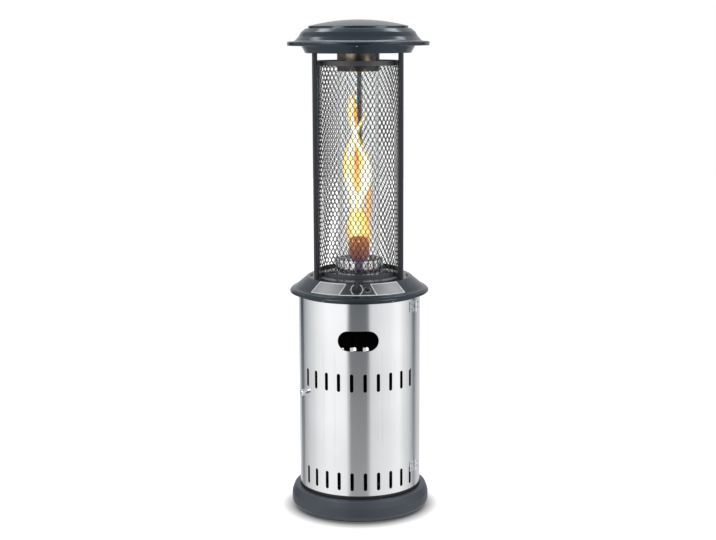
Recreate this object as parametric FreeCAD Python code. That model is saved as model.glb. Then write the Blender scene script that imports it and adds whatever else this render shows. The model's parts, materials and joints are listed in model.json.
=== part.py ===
import FreeCAD, Part
import math
import os
from FreeCAD import Vector

# Flame-tube patio heater. Millimetres, +Z up, origin on the floor under the middle.
# The front faces -Y. A heading is the angle round the axis from the front, growing towards +X.

# Heights, stacked from the floor up
foot_height = 12.0
base_ring_height = 78.0
base_shadow_gap = 12.0
housing_height = 710.0
deck_shadow_gap = 13.0
deck_rise = 57.0
post_length = 811.0
tray_depth = 26.0
hood_height = 93.0

# Sheet thicknesses
steel_sheet = 1.2
base_sheet = 2.0
pressed_sheet = 1.5
plate_sheet = 3.0

# Fits
door_clearance = 0.5
running_clearance = 0.05
seat_gap = 0.3

# Housing and door
housing_radius = 225.0
door_half_angle = 64.0
seam_angle = 0.35
jamb_depth = 10.0
flange_height = 26.0
upright_leg = 30.0
upright_depth = 7.0
rear_upright_heading = 140.0
vent_width = 13.0
vent_height = 67.0
vent_count = 10
vents_round = 29
lower_vent_rise = 53.0
upper_vent_rise = 421.0
hand_slot_width = 147.0
hand_slot_height = 73.0
hand_slot_drop = 134.5
hem_depth = 9.0
hem_half_angle = 40.0
lug_width = 12.5
lug_height = 12.5
lug_spacing = 46.0
lug_lean = 20.0
rail_height = 16.0
rail_depth = 14.0
rail_half_angle = 59.0
lower_rail_rise = 100.0
upper_rail_drop = 60.0

# Door hinges
hinge_height = 38.0
hinge_leaf_width = 35.0
hinge_leaf_sheet = 1.6
hinge_pin_radius = 2.5
hinge_knuckle_radius = 4.2
hinge_pin_stand_off = 5.0
knuckle_gap = 0.4
upper_hinge_drop = 28.0
lower_hinge_rise = 82.0
hinge_screw_inset = 12.0
hinge_leaf_setback = 3.0

# Door latch
latch_heading = -60.5
latch_rise = 361.0
latch_knob_radius = 12.0
latch_knob_length = 18.0
latch_rosette_radius = 13.5
latch_rosette_sheet = 2.0
latch_shaft_radius = 4.0
latch_sleeve_radius = 7.0
latch_sleeve_depth = 8.0
latch_cam_reach = 34.0
latch_cam_width = 14.0
latch_cam_sheet = 2.5
latch_cam_depth = 13.0

# Base
base_ring_overhang = 31.0
base_ring_lift = 3.0
bottle_rib_radius = 130.0
bottle_rib_height = 6.0
pan_vent_radius = 17.5
pan_vent_inset = 67.0
pan_vents = 8
foot_radius = 20.0
foot_inset = 40.0
foot_count = 4

# Deck
deck_overhang = 31.5
deck_slope = 40.0
deck_slope_run = 47.0
deck_rim_run = 18.5
deck_hole_radius = 84.0
deck_lip_width = 13.5
deck_base_inset = 19.0
box_clearance = 3.0
box_depth = 64.0
box_air_hole_radius = 28.0
stiffener_inset = 7.0
stiffener_width = 29.0
deck_bolt_inset = 13.0
deck_bolt_headings = [-150, -90, 90, 150]

# Control panel and controls
panel_sheet = 1.0
panel_half_angle = 46.5
panel_top_margin = 3.0
panel_bottom_margin = 2.0
control_distance = 30.0
knob_heading = -1.2
button_heading = 8.8
knob_radius = 12.5
knob_lift = 5.6
knob_skirt = 7.0
knob_grip_height = 15.0
knob_grip_width = 9.0
knob_grip_length = 36.0
knob_push = 3.5
spindle_radius = 4.0
collar_radius = 6.5
collar_length = 6.0
collar_drop = 8.0
neck_radius = 8.5
neck_length = 26.0
valve_width = 44.0
valve_height = 28.0
valve_depth = 32.0
button_radius = 6.5
button_height = 8.0
button_push = 6.0
button_depth = 10.0
igniter_length = 45.0
bezel_radius = 11.0
bezel_height = 2.0
panel_nut_radius = 13.0
panel_nut_height = 4.5

# Burner, gas parts and glass
glass_radius = 75.0
glass_wall = 3.0
glass_cup_radius = 88.0
glass_cup_height = 62.0
glass_seat_rise = 14.0
gasket_height = 2.5
collar_wall = 1.2
collar_glass_gap = 0.8
collar_height = 65.0
collar_ledge_drop = 26.0
cup_slots = 24
cup_slot_width = 7.0
cup_slot_height = 36.0
cup_flange = 10.0
burner_tube_radius = 15.5
burner_tube_wall = 1.5
burner_tube_length = 157.0
burner_head_radius = 37.5
burner_head_height = 85.0
burner_head_holes = 9
burner_head_rows = 3
burner_head_hole_radius = 3.2
injector_length = 22.0
pipe_radius = 4.0
pilot_offset = 50.0
pilot_pipe_radius = 2.5
pilot_hood_height = 58.0
probe_spacing = 14.0
probe_radius = 2.5
lead_radius = 1.5
inlet_thread_radius = 8.3
inlet_thread_length = 16.0
inlet_drop = 34.0
inlet_heading = -22.5
main_pipe_reach = 149.0
pilot_pipe_reach = 124.0
probe_lead_reach = 129.0
igniter_lead_reach = 119.0

# Guard and posts
post_radius = 9.5
post_wall = 1.5
post_inset = 14.0
post_headings = [-60, 60, 180]
tie_rod_radius = 4.0
post_nut_radius = 8.0
post_nut_height = 7.0
guard_stand_off = 27.0
guard_band_sheet = 2.0
guard_band_height = 18.0
guard_lift = 4.5
guard_top_gap = 26.0
guard_mesh_sheet = 1.5
guard_mesh_overlap = 5.0
mesh_columns = 7
mesh_rows = 9
mesh_strand = 4.0
mesh_border = 5.0
bracket_width = 13.0
bracket_height = 14.0

# Hood
hood_overhang = 0.5
hood_rim_thickness = 15.5
hood_lip_width = 31.0
hood_brim = 76.0
dome_drop = 22.0
dome_edge = 4.0
dome_step = 8.0
tray_margin = 14.5
tray_flare = 14.0
tray_flange = 7.0
tray_hole_radius = 74.0
baffle_inset = 27.0
baffle_rise = 56.0
bracket_strip = 20.0

# Screws
small_screw_radius = 2.0
small_head_radius = 3.8
small_head_height = 2.0
small_screw_length = 7.0
bolt_radius = 3.0
bolt_head_radius = 6.0
bolt_head_height = 4.0

# Levels and radii that follow from the sizes above
pan_top = foot_height + base_sheet
housing_bottom = base_ring_height + base_shadow_gap
housing_top = housing_bottom + housing_height
deck_rim_z = housing_top + deck_shadow_gap
deck_top = deck_rim_z + deck_rise
tray_z = deck_top + post_length
hood_rim_z = tray_z + tray_depth
hood_top = hood_rim_z + hood_height
base_ring_radius = housing_radius + base_ring_overhang
foot_circle = housing_radius - foot_inset
pan_vent_circle = housing_radius - pan_vent_inset
deck_base_inner_radius = housing_radius - deck_base_inset
box_radius = deck_base_inner_radius - box_clearance
deck_rim_radius = housing_radius + deck_overhang
deck_lip_radius = deck_rim_radius - deck_lip_width
deck_fold_radius = deck_rim_radius - deck_rim_run - deck_slope_run
stiffener_outer_radius = deck_fold_radius - stiffener_inset
stiffener_inner_radius = stiffener_outer_radius - stiffener_width
deck_bolt_circle = deck_fold_radius - deck_bolt_inset
post_circle = deck_fold_radius - post_inset
guard_radius = post_circle - guard_stand_off
baffle_radius = post_circle - baffle_inset
tray_radius = post_circle + tray_margin
hood_rim_radius = deck_rim_radius + hood_overhang
hood_lip_radius = hood_rim_radius - hood_lip_width
dome_radius = hood_rim_radius - hood_brim
housing_inner = housing_radius - steel_sheet
flange_radius = housing_inner - door_clearance
flange_inner = flange_radius - base_sheet
base_flange_top = housing_bottom + flange_height / 2
deck_base_z = deck_rim_z - base_sheet
box_floor_z = deck_base_z - box_depth
seam_heading = door_half_angle + seam_angle
jamb_angle = math.degrees(steel_sheet / (flange_inner - upright_depth))
slope = math.radians(deck_slope)
slope_foot_radius = deck_fold_radius + deck_slope_run
slope_foot_z = deck_top - deck_slope_run * math.tan(slope)
slope_length = deck_slope_run / math.cos(slope)
control_radius = deck_fold_radius + control_distance * math.cos(slope)
control_z = deck_top - control_distance * math.sin(slope)
hinge_heading = door_half_angle + seam_angle / 2
hinge_pin_radius_from_axis = housing_radius + hinge_pin_stand_off
latch_z = housing_bottom + latch_rise
cup_top = deck_top + glass_cup_height
glass_seat_z = deck_top + glass_seat_rise
glass_bottom = glass_seat_z + steel_sheet + gasket_height
ledge_z = tray_z - collar_ledge_drop
glass_top = ledge_z - gasket_height
burner_tube_bottom = cup_top - burner_tube_length
guard_bottom = deck_top + guard_lift
guard_top = tray_z - guard_top_gap
mesh_radius = guard_radius - guard_band_sheet
tray_lip_radius = tray_radius + tray_flare
inlet_x = pan_vent_circle * math.sin(math.radians(inlet_heading))
inlet_y = -pan_vent_circle * math.cos(math.radians(inlet_heading))

origin = Vector(0, 0, 0)
up = Vector(0, 0, 1)
outward = Vector(1, 0, 0)


def point(radius, z):
    return Vector(radius, 0, z)


def rounded_edges(points, radii):
    """Edges along the points, with a tangent arc at each inner point that has a radius."""
    edges = []
    at = points[0]
    for before, here, after, radius in zip(points, points[1:], points[2:], radii[1:]):
        back = (before - here).normalize()
        ahead = (after - here).normalize()
        half_angle = back.getAngle(ahead) / 2
        reach = radius / math.tan(half_angle)
        start = here + back * reach
        if (start - at).Length > 0.001:
            edges.append(Part.LineSegment(at, start).toShape())
        at = start
        if radius > 0:
            bisector = (back + ahead).normalize()
            middle = here + bisector * (radius / math.sin(half_angle) - radius)
            end = here + ahead * reach
            edges.append(Part.Arc(start, middle, end).toShape())
            at = end
    if (points[-1] - at).Length > 0.001:
        edges.append(Part.LineSegment(at, points[-1]).toShape())
    return edges


def corner_path(points):
    """Edges along an r-z outline. A point's third number rounds that corner."""
    places = [point(*corner[:2]) for corner in points]
    return rounded_edges(places, [corner[2] if len(corner) == 3 else 0 for corner in points])


def moved_sideways(points, distance):
    """The outline moved to the right of its own direction, with its corner radii kept parallel."""
    directions = []
    for first, second in zip(points, points[1:]):
        directions.append((point(*second[:2]) - point(*first[:2])).normalize())
    moved = []
    for index, corner in enumerate(points):
        before = directions[max(index - 1, 0)]
        after = directions[min(index, len(directions) - 1)]
        right_before = Vector(before.z, 0, -before.x)
        right_after = Vector(after.z, 0, -after.x)
        shift = (right_before + right_after) * (distance / (1 + right_before.dot(right_after)))
        place = point(*corner[:2]) + shift
        turn = before.x * after.z - before.z * after.x
        radius = 0.0
        if len(corner) == 3:
            radius = corner[2] + math.copysign(distance, turn)
        if radius > 0.05:
            moved.append((place.x, place.z, radius))
        else:
            moved.append((place.x, place.z))
    return moved


def closed_face(points):
    return Part.Face(Part.Wire(corner_path(points + [points[0][:2]])))


def sheet_face(points, thickness):
    """The section of a sheet whose visible side follows the points, walls to their right."""
    inner = moved_sideways(points, thickness)
    edges = corner_path(points)
    edges.append(Part.LineSegment(point(*points[-1][:2]), point(*inner[-1][:2])).toShape())
    edges += corner_path(inner[::-1])
    edges.append(Part.LineSegment(point(*inner[0][:2]), point(*points[0][:2])).toShape())
    return Part.Face(Part.Wire(edges))


def spun(face, low=0.0, high=360.0):
    """The face carried round the axis from heading low to heading high."""
    turned_face = face.copy()
    turned_face.rotate(origin, up, low - 90)
    return turned_face.revolve(origin, up, high - low)


def band(inner, outer, bottom, top, low=0.0, high=360.0):
    outline = [(inner, bottom), (outer, bottom), (outer, top), (inner, top)]
    return spun(closed_face(outline), low, high)


def turned(shape, heading):
    """A shape built along +X, turned to its heading."""
    copy = shape.copy()
    copy.rotate(origin, up, heading - 90)
    return copy


def box(low, high):
    size = high - low
    return Part.makeBox(size.x, size.y, size.z, low)


def radial_rod(radius, near, far, z):
    return Part.makeCylinder(radius, far - near, Vector(near, 0, z), outward)


def upright_rod(radius, x, y, bottom, top):
    return Part.makeCylinder(radius, top - bottom, Vector(x, y, bottom), up)


def radial_slot(width, height, near, far, z):
    """A round-ended opening through a wall that faces +X."""
    radius = min(width, height) / 2
    across = Vector(0, width / 2 - radius, height / 2 - radius)
    if width > height:
        corner = Vector(0, across.y, radius)
    else:
        corner = Vector(0, radius, across.z)
    level = Vector(0, 0, z)
    long_side = box(Vector(near, 0, 0) - corner + level, Vector(far, 0, 0) + corner + level)
    ends = []
    for side in (-1, 1):
        centre = Vector(near, side * across.y, z + side * across.z)
        ends.append(Part.makeCylinder(radius, far - near, centre, outward))
    return long_side.fuse(ends)


def on_slope(shape, heading):
    """A shape built on the XY plane, stood on the deck's slope where the controls are."""
    copy = shape.copy()
    copy.rotate(origin, outward, deck_slope)
    copy.translate(Vector(0, -control_radius, control_z))
    copy.rotate(origin, up, heading)
    return copy


def slope_point(heading, across, along, out):
    """The place of a point given in the controls' own directions."""
    return on_slope(Part.Vertex(across, along, out), heading).Point


def pipe(points, radius, bend):
    """A round pipe along straight runs that are joined by tangent bends."""
    edges = rounded_edges(points, [bend] * len(points))
    first = (points[1] - points[0]).normalize()
    section = Part.Wire(Part.makeCircle(radius, points[0], first))
    return Part.Wire(edges).makePipeShell([section], True, False)


def hexagon(across_corners_radius, height, place):
    prism = Part.Face(Part.makePolygon([
        Vector(across_corners_radius * math.cos(math.radians(60 * k)),
               across_corners_radius * math.sin(math.radians(60 * k)), 0)
        for k in range(7)])).extrude(Vector(0, 0, height))
    prism.translate(place)
    return prism


def screw(radius, length, head_radius, head_height):
    """A screw that points down, with the underside of its head at the origin."""
    shank = Part.makeCylinder(radius, length, Vector(0, 0, -length))
    head = Part.makeCylinder(head_radius, head_height)
    return shank.fuse(head)


def radial_screw(near_face, heading, z):
    """A small screw driven inwards, its head seated on a face at that radius."""
    copy = screw(small_screw_radius, small_screw_length, small_head_radius, small_head_height)
    copy.rotate(origin, Vector(0, 1, 0), 90)
    copy.translate(Vector(near_face, 0, z))
    return turned(copy, heading)


def save(name, *shapes):
    """One node, as one solid or as a group of separate solids."""
    solids = []
    for shape in shapes:
        solids += shape.Solids
    shape = solids[0] if len(solids) == 1 else Part.makeCompound(solids)
    shape.exportStep("parts/%s.step" % name)
    print("%-20s %2d solids %10.0f mm3" % (name, len(solids), shape.Volume))


# Screw places that two pieces share
cabinet_screw_headings = [100, 140, 180, 220, 260]
cabinet_screw_levels = [housing_bottom + flange_height / 4, housing_top - flange_height / 4]
hinge_levels = [housing_bottom + lower_hinge_rise, housing_top - upper_hinge_drop]
leaf_angle = math.degrees(hinge_leaf_width / housing_radius)
inset_angle = math.degrees(hinge_screw_inset / housing_radius)
foot_headings = [45 + 360 * k / foot_count for k in range(foot_count)]


def cabinet_screws():
    screws = []
    for z in cabinet_screw_levels:
        for heading in cabinet_screw_headings:
            screws.append(radial_screw(housing_radius, heading, z))
    return screws


def hinge_screws(side):
    """Two screws in each leaf of one side; side is +1 on the housing and -1 on the door."""
    screws = []
    heading = hinge_heading + side * (leaf_angle - inset_angle)
    for level in hinge_levels:
        for z in (level - hinge_height / 4, level + hinge_height / 4):
            screws.append(radial_screw(housing_radius + hinge_leaf_sheet, heading, z))
    return screws


# Base
def foot_screws():
    screws = []
    for heading in foot_headings:
        one = screw(bolt_radius, foot_height - base_ring_lift, bolt_head_radius, bolt_head_height)
        one.translate(Vector(foot_circle, 0, pan_top))
        screws.append(turned(one, heading))
    return screws


def rubber_feet():
    feet = []
    for heading in foot_headings:
        foot = turned(upright_rod(foot_radius, foot_circle, 0, 0, foot_height), heading)
        bottom_edges = [edge for edge in foot.Edges if edge.CenterOfMass.z < 0.001]
        feet.append(foot.makeChamfer(2.0, bottom_edges))
    return [foot.cut(foot_screws()) for foot in feet]


def base_pan():
    """Round pan with an upturned flange, and a pressed rib that centres the gas bottle."""
    floor_face = closed_face([
        (0, foot_height), (flange_radius, foot_height, base_sheet),
        (flange_radius, base_flange_top), (flange_inner, base_flange_top),
        (flange_inner, pan_top), (bottle_rib_radius + 5, pan_top),
        (bottle_rib_radius + 2, pan_top + bottle_rib_height),
        (bottle_rib_radius - 2, pan_top + bottle_rib_height),
        (bottle_rib_radius - 5, pan_top), (0, pan_top)])
    return spun(floor_face).cut(foot_screws() + cabinet_screws() + base_ring_screws() + pan_holes())


def pan_holes():
    """Round vents that let leaked gas out; the hose thread is above one of them."""
    vent = upright_rod(pan_vent_radius, pan_vent_circle, 0, 0, pan_top + 5)
    return [turned(vent, inlet_heading + 360 * k / pan_vents) for k in range(pan_vents)]


def base_ring():
    """Rounded pressed skirt that hooks over the pan's flange."""
    outline = [
        (flange_radius, base_ring_height - 22), (flange_radius, base_ring_height, 3.0),
        (base_ring_radius - 11, base_ring_height - 1, 10.0), (base_ring_radius, 48.0, 26.0),
        (base_ring_radius, 17.0, 14.0), (base_ring_radius - 10, base_ring_lift, 6.0),
        (base_ring_radius - 22, base_ring_lift)]
    return spun(sheet_face(outline, base_sheet)).cut(base_ring_screws())


def base_ring_screws():
    """Driven outwards from inside the pan's flange into the skirt's inner lip."""
    screws = []
    for heading in foot_headings:
        one = radial_screw(0, 90, 0)
        one.rotate(origin, up, 180)
        one.translate(Vector(flange_inner, 0, base_ring_height - 11))
        screws.append(turned(one, heading))
    return screws


# Frame that carries the deck
def upright(heading, side):
    """An angle strip; side is +1 when its flat leg runs on towards larger headings."""
    leg_angle = math.degrees(upright_leg / flange_inner)
    low, high = sorted((heading, heading + side * leg_angle))
    flat_leg = band(flange_inner - base_sheet, flange_inner, pan_top, deck_base_z, low, high)
    near, far = sorted((0, side * base_sheet))
    rib = box(Vector(flange_inner - upright_depth, near, pan_top),
              Vector(flange_inner - base_sheet / 2, far, deck_base_z))
    strip = flat_leg.fuse(turned(rib, heading)).removeSplitter()
    return strip.cut(cabinet_screws() + hinge_screws(1))


def deck_base():
    """Ring plate on top of the uprights, with a downturned flange for the housing."""
    plate = band(deck_base_inner_radius, deck_rim_radius - 2.5, deck_base_z, deck_rim_z)
    flange = band(flange_inner, flange_radius, housing_top - flange_height / 2, deck_base_z)
    return plate.fuse(flange).removeSplitter().cut(cabinet_screws() + deck_screws())


def burner_box():
    """Round pan under the deck that shields the gas bottle from the burner."""
    outline = [
        (box_radius + 10, deck_base_z), (box_radius, deck_base_z, 3.0),
        (box_radius, box_floor_z, 4.0), (box_air_hole_radius, box_floor_z)]
    pan = spun(sheet_face(outline, -pressed_sheet))
    return pan.cut(upright_rod(inlet_thread_radius + 1, inlet_x, inlet_y, box_floor_z - 5,
                               box_floor_z + 5))


# Housing and door
def vent_row(middle_heading, z):
    pitch = 360.0 / vents_round
    slots = []
    for k in range(vent_count):
        slot = radial_slot(vent_width, vent_height, housing_inner - 5, housing_radius + 5, z)
        slots.append(turned(slot, middle_heading + (k - (vent_count - 1) / 2) * pitch))
    return slots


def vents(middle_heading):
    lower = vent_row(middle_heading, housing_bottom + lower_vent_rise)
    return lower + vent_row(middle_heading, housing_bottom + upper_vent_rise)


def rear_housing():
    """Rolled steel shell with a flange turned in beside each edge of the door opening."""
    shell = band(housing_inner, housing_radius, housing_bottom, housing_top,
                 seam_heading, 360 - seam_heading)
    low = base_flange_top + 2
    high = housing_top - flange_height / 2 - 2
    for heading, side in ((seam_heading, 1), (-seam_heading, -1)):
        near, far = sorted((0, side * steel_sheet))
        jamb = box(Vector(housing_inner - jamb_depth, near, low),
                   Vector(housing_inner + steel_sheet / 2, far, high))
        shell = shell.fuse(turned(jamb, heading))
    return shell.cut(vents(180) + cabinet_screws() + hinge_screws(1))


def door():
    """Rolled steel door with two rows of vents and a hemmed slot for the hand."""
    skin = band(housing_inner, housing_radius, housing_bottom, housing_top,
                -door_half_angle, door_half_angle)
    slot_z = housing_top - hand_slot_drop
    outer_slot = radial_slot(hand_slot_width + 2 * steel_sheet, hand_slot_height + 2 * steel_sheet,
                             housing_inner - 30, housing_radius + 5, slot_z)
    inner_slot = radial_slot(hand_slot_width, hand_slot_height,
                             housing_inner - 40, housing_radius + 15, slot_z)
    hem_zone = band(housing_inner - hem_depth, housing_radius, slot_z - hand_slot_height,
                    slot_z + hand_slot_height, 90 - hem_half_angle, 90 + hem_half_angle)
    hem = outer_slot.cut(inner_slot).common(hem_zone)
    panel = skin.cut(turned(outer_slot, 0)).fuse(turned(hem, 0))
    for side in (-1, 1):
        middle = side * lug_spacing / 2
        face = math.sqrt((housing_inner - hem_depth + steel_sheet) ** 2 - middle ** 2)
        bottom = slot_z - hand_slot_height / 2 - steel_sheet
        lug = box(Vector(face, middle - lug_width / 2, bottom),
                  Vector(face + steel_sheet, middle + lug_width / 2, bottom + lug_height))
        lug.rotate(Vector(face, middle, bottom), Vector(0, 1, 0), -lug_lean)
        panel = panel.fuse(turned(lug, 0))
    sleeve_hole = turned(radial_rod(latch_sleeve_radius, housing_inner - 5, housing_radius + 5,
                                    latch_z), latch_heading)
    return panel.cut(vents(0) + hinge_screws(-1) + [sleeve_hole])


def door_rails():
    """Two curved channels that stiffen the door, open towards its skin."""
    rails = []
    for bottom in (housing_bottom + lower_rail_rise, housing_top - upper_rail_drop):
        outline = [
            (housing_inner, bottom), (housing_inner - rail_depth, bottom, 2.0),
            (housing_inner - rail_depth, bottom + rail_height, 2.0),
            (housing_inner, bottom + rail_height)]
        rails.append(spun(sheet_face(outline, pressed_sheet), -rail_half_angle, rail_half_angle))
    return [rail.cut(hinge_screws(-1)) for rail in rails]


# Hinges
def knuckle(bottom, top, side, bore_radius):
    """A rolled knuckle, joined to its leaf by the metal that curls round the pin."""
    barrel = upright_rod(hinge_knuckle_radius, hinge_pin_radius_from_axis, 0, bottom, top)
    near, far = sorted((0, side * hinge_knuckle_radius))
    root = box(Vector(housing_radius + seat_gap, near, bottom),
               Vector(hinge_pin_radius_from_axis, far, top))
    bore = upright_rod(bore_radius, hinge_pin_radius_from_axis, 0, bottom - 1, top + 1)
    return turned(barrel.fuse(root).cut(bore), hinge_heading)


def hinge_leaf(level, side):
    """One curved leaf; the housing's has two knuckles and the door's has the middle one."""
    edge = math.degrees(hinge_leaf_setback / housing_radius)
    low, high = sorted((hinge_heading + side * edge, hinge_heading + side * leaf_angle))
    bottom = level - hinge_height / 2
    leaf = band(housing_radius, housing_radius + hinge_leaf_sheet, bottom,
                bottom + hinge_height, low, high)
    third = hinge_height / 3
    if side > 0:
        leaf = leaf.fuse(knuckle(bottom, bottom + third - knuckle_gap, side, hinge_pin_radius))
        leaf = leaf.fuse(knuckle(bottom + 2 * third + knuckle_gap, bottom + hinge_height, side,
                                 hinge_pin_radius))
    else:
        leaf = leaf.fuse(knuckle(bottom + third, bottom + 2 * third, side,
                                 hinge_pin_radius + running_clearance))
    return leaf.cut(hinge_screws(side))


def hinge_pins():
    pins = []
    for level in hinge_levels:
        bottom = level - hinge_height / 2
        pin = upright_rod(hinge_pin_radius, hinge_pin_radius_from_axis, 0, bottom - 1.5,
                          bottom + hinge_height + 1.5)
        for start in (bottom - 1.5, bottom + hinge_height):
            pin = pin.fuse(upright_rod(hinge_knuckle_radius - 0.6, hinge_pin_radius_from_axis, 0,
                                       start, start + 1.5))
        pins.append(turned(pin, hinge_heading))
    return pins


# Latch
def latch_rosette():
    """Rosette outside the door with a sleeve through it and a nut inside."""
    inside = housing_inner - latch_sleeve_depth
    body = radial_rod(latch_rosette_radius, housing_radius, housing_radius + latch_rosette_sheet,
                      latch_z)
    body = body.fuse(radial_rod(latch_sleeve_radius, inside, housing_radius, latch_z))
    nut = radial_rod(latch_sleeve_radius + 4, inside + 1, inside + 6, latch_z)
    bore = radial_rod(latch_shaft_radius + running_clearance, inside - 1, housing_radius + 5,
                      latch_z)
    return turned(body.fuse(nut).cut(bore), latch_heading)


def latch_knob():
    """Round knob with a flattened grip, on the shaft that carries the cam."""
    face = housing_radius + latch_rosette_sheet + seat_gap
    collar = radial_rod(latch_knob_radius - 3, face, face + 5, latch_z)
    head = radial_rod(latch_knob_radius, face + 5, face + latch_knob_length, latch_z)
    head = head.makeChamfer(1.5, [edge for edge in head.Edges if edge.Length > 60])
    shaft = radial_rod(latch_shaft_radius, housing_inner - latch_cam_depth - latch_cam_sheet - 1.5,
                       face + 1, latch_z)
    return turned(collar.fuse([head, shaft]), latch_heading)


def latch_cam():
    """Tongue that hangs beside the seam, and turns behind the housing's flange to lock."""
    outer = housing_inner - latch_cam_depth
    inner = outer - latch_cam_sheet
    half = latch_cam_width / 2
    hub = radial_rod(half, inner, outer, latch_z)
    tongue = box(Vector(inner, -half, latch_z - latch_cam_reach), Vector(outer, half, latch_z))
    bore = radial_rod(latch_shaft_radius, inner - 1, outer + 1, latch_z)
    return turned(hub.fuse(tongue).removeSplitter().cut(bore), latch_heading)


# Deck
def deck_outline():
    return [
        (deck_hole_radius, deck_top), (deck_fold_radius, deck_top, 4.0),
        (slope_foot_radius, slope_foot_z, 8.0),
        (deck_rim_radius - 8.5, slope_foot_z - 4.0, 8.0),
        (deck_rim_radius, slope_foot_z - 12.5, 7.0),
        (deck_rim_radius, deck_rim_z, 1.8), (deck_lip_radius, deck_rim_z)]


def control_holes():
    """Round holes through the deck for the valve's neck and the igniter's body."""
    hole = Part.makeCylinder(neck_radius, 20, Vector(0, 0, -10))
    return [on_slope(hole, knob_heading), on_slope(hole, button_heading)]


def deck():
    shell = spun(sheet_face(deck_outline(), pressed_sheet))
    post_holes = [turned(upright_rod(tie_rod_radius, post_circle, 0, deck_top - 5, deck_top + 5),
                         heading) for heading in post_headings]
    return shell.cut(control_holes() + post_holes + deck_bolts() + deck_screws() + cup_screws())


def deck_stiffener():
    """Ring plate under the deck that the posts and the deck bolts pull against."""
    plate = band(stiffener_inner_radius, stiffener_outer_radius,
                 deck_top - pressed_sheet - plate_sheet, deck_top - pressed_sheet)
    post_holes = [turned(upright_rod(tie_rod_radius, post_circle, 0, deck_top - 9, deck_top),
                         heading) for heading in post_headings]
    return plate.cut(post_holes + deck_bolts())


def deck_bolts():
    """Hexagon bolts with washers through the deck's flat top."""
    bolts = []
    for heading in deck_bolt_headings:
        washer = Part.makeCylinder(bolt_head_radius + 2.5, 1.0)
        shank = Part.makeCylinder(bolt_radius, 12.0, Vector(0, 0, -11.0))
        head = hexagon(bolt_head_radius, bolt_head_height + 1, Vector(0, 0, 1.0))
        bolt = washer.fuse([shank, head])
        bolt.translate(Vector(deck_bolt_circle, 0, deck_top))
        bolts.append(turned(bolt, heading))
    return bolts


def deck_screws():
    """Screws from below that hold the deck's lip on its base plate."""
    middle = (deck_lip_radius + deck_rim_radius - pressed_sheet) / 2
    screws = []
    for k in range(6):
        one = screw(small_screw_radius, small_screw_length, small_head_radius, small_head_height)
        one.rotate(origin, outward, 180)
        one.translate(Vector(middle, 0, deck_base_z))
        screws.append(turned(one, 30 + 60 * k))
    return screws


def control_panel():
    """Thin plate on the front of the slope that carries the dial marks."""
    start = panel_top_margin
    stop = slope_length - panel_bottom_margin
    outline = []
    for distance, lift in ((start, 0), (stop, 0), (stop, panel_sheet), (start, panel_sheet)):
        outline.append((deck_fold_radius + distance * math.cos(slope) + lift * math.sin(slope),
                        deck_top - distance * math.sin(slope) + lift * math.cos(slope)))
    plate = spun(closed_face(outline), -panel_half_angle, panel_half_angle)
    return plate.cut(control_holes())


# Controls, built with the slope's surface as their XY plane
def gas_valve():
    neck = Part.makeCylinder(neck_radius, neck_length, Vector(0, 0, -neck_length))
    body = box(Vector(-valve_width / 2, -valve_height / 2, -neck_length - valve_depth),
               Vector(valve_width / 2, valve_height / 2, -neck_length))
    body = body.makeChamfer(2.0, body.Edges)
    bore = Part.makeCylinder(collar_radius + running_clearance, neck_length - 2,
                             Vector(0, 0, -neck_length + 2))
    boss_radius = pipe_radius + 3
    boss = Part.makeCylinder(boss_radius, 6, Vector(0, 0, -neck_length - valve_depth - 5))
    return on_slope(body.fuse([neck, boss]).cut(bore), knob_heading)


def push_collar():
    """Sleeve that slides in the valve's neck and carries the turning spindle."""
    bottom = -collar_drop - collar_length
    collar = Part.makeCylinder(collar_radius, collar_length, Vector(0, 0, bottom))
    bore = Part.makeCylinder(spindle_radius + running_clearance, collar_length + 2,
                             Vector(0, 0, bottom - 1))
    return on_slope(collar.cut(bore), knob_heading)


def valve_spindle():
    bottom = -collar_drop - collar_length - 1
    top = knob_lift + knob_skirt + knob_grip_height / 2
    return on_slope(Part.makeCylinder(spindle_radius, top - bottom, Vector(0, 0, bottom)),
                    knob_heading)


def control_knob():
    """Round skirt with a longer bar grip that points up the slope when the gas is off."""
    skirt = Part.makeCone(knob_radius, knob_radius - 1.5, knob_skirt, Vector(0, 0, knob_lift))
    half = knob_grip_width / 2
    reach = knob_grip_length / 2
    grip_base = knob_lift + knob_skirt - 1
    grip = box(Vector(-half, -reach, grip_base),
               Vector(half, reach, knob_lift + knob_skirt + knob_grip_height))
    grip = grip.common(Part.makeCylinder(reach, 60))
    top_edges = [edge for edge in grip.Edges if edge.CenterOfMass.z > grip_base + knob_grip_height]
    grip = grip.makeChamfer(1.2, top_edges)
    knob = on_slope(skirt.fuse(grip), knob_heading)
    return knob.cut(valve_spindle())


def igniter_body():
    """Piezo igniter: a long barrel with a bezel that sits on the panel."""
    barrel = Part.makeCylinder(neck_radius, igniter_length + panel_sheet + seat_gap,
                               Vector(0, 0, -igniter_length))
    bezel = Part.makeCylinder(bezel_radius, bezel_height, Vector(0, 0, panel_sheet + seat_gap))
    bore = Part.makeCylinder(button_radius + running_clearance, 40,
                             Vector(0, 0, -button_depth - button_push - 2))
    return on_slope(barrel.fuse(bezel).cut(bore), button_heading)


def igniter_button():
    bottom = -button_depth
    top = panel_sheet + bezel_height + button_height
    button = Part.makeCylinder(button_radius, top - bottom, Vector(0, 0, bottom))
    crown = [edge for edge in button.Edges if edge.CenterOfMass.z > top - 0.1]
    return on_slope(button.makeFillet(1.5, crown), button_heading)


def panel_nuts():
    """Ring nuts under the deck that hold the valve's neck and the igniter."""
    top = -pressed_sheet - seat_gap
    ring = hexagon(panel_nut_radius, panel_nut_height, Vector(0, 0, top - panel_nut_height))
    ring = ring.cut(Part.makeCylinder(neck_radius, 30, Vector(0, 0, -20)))
    return [on_slope(ring, knob_heading), on_slope(ring, button_heading)]


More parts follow.
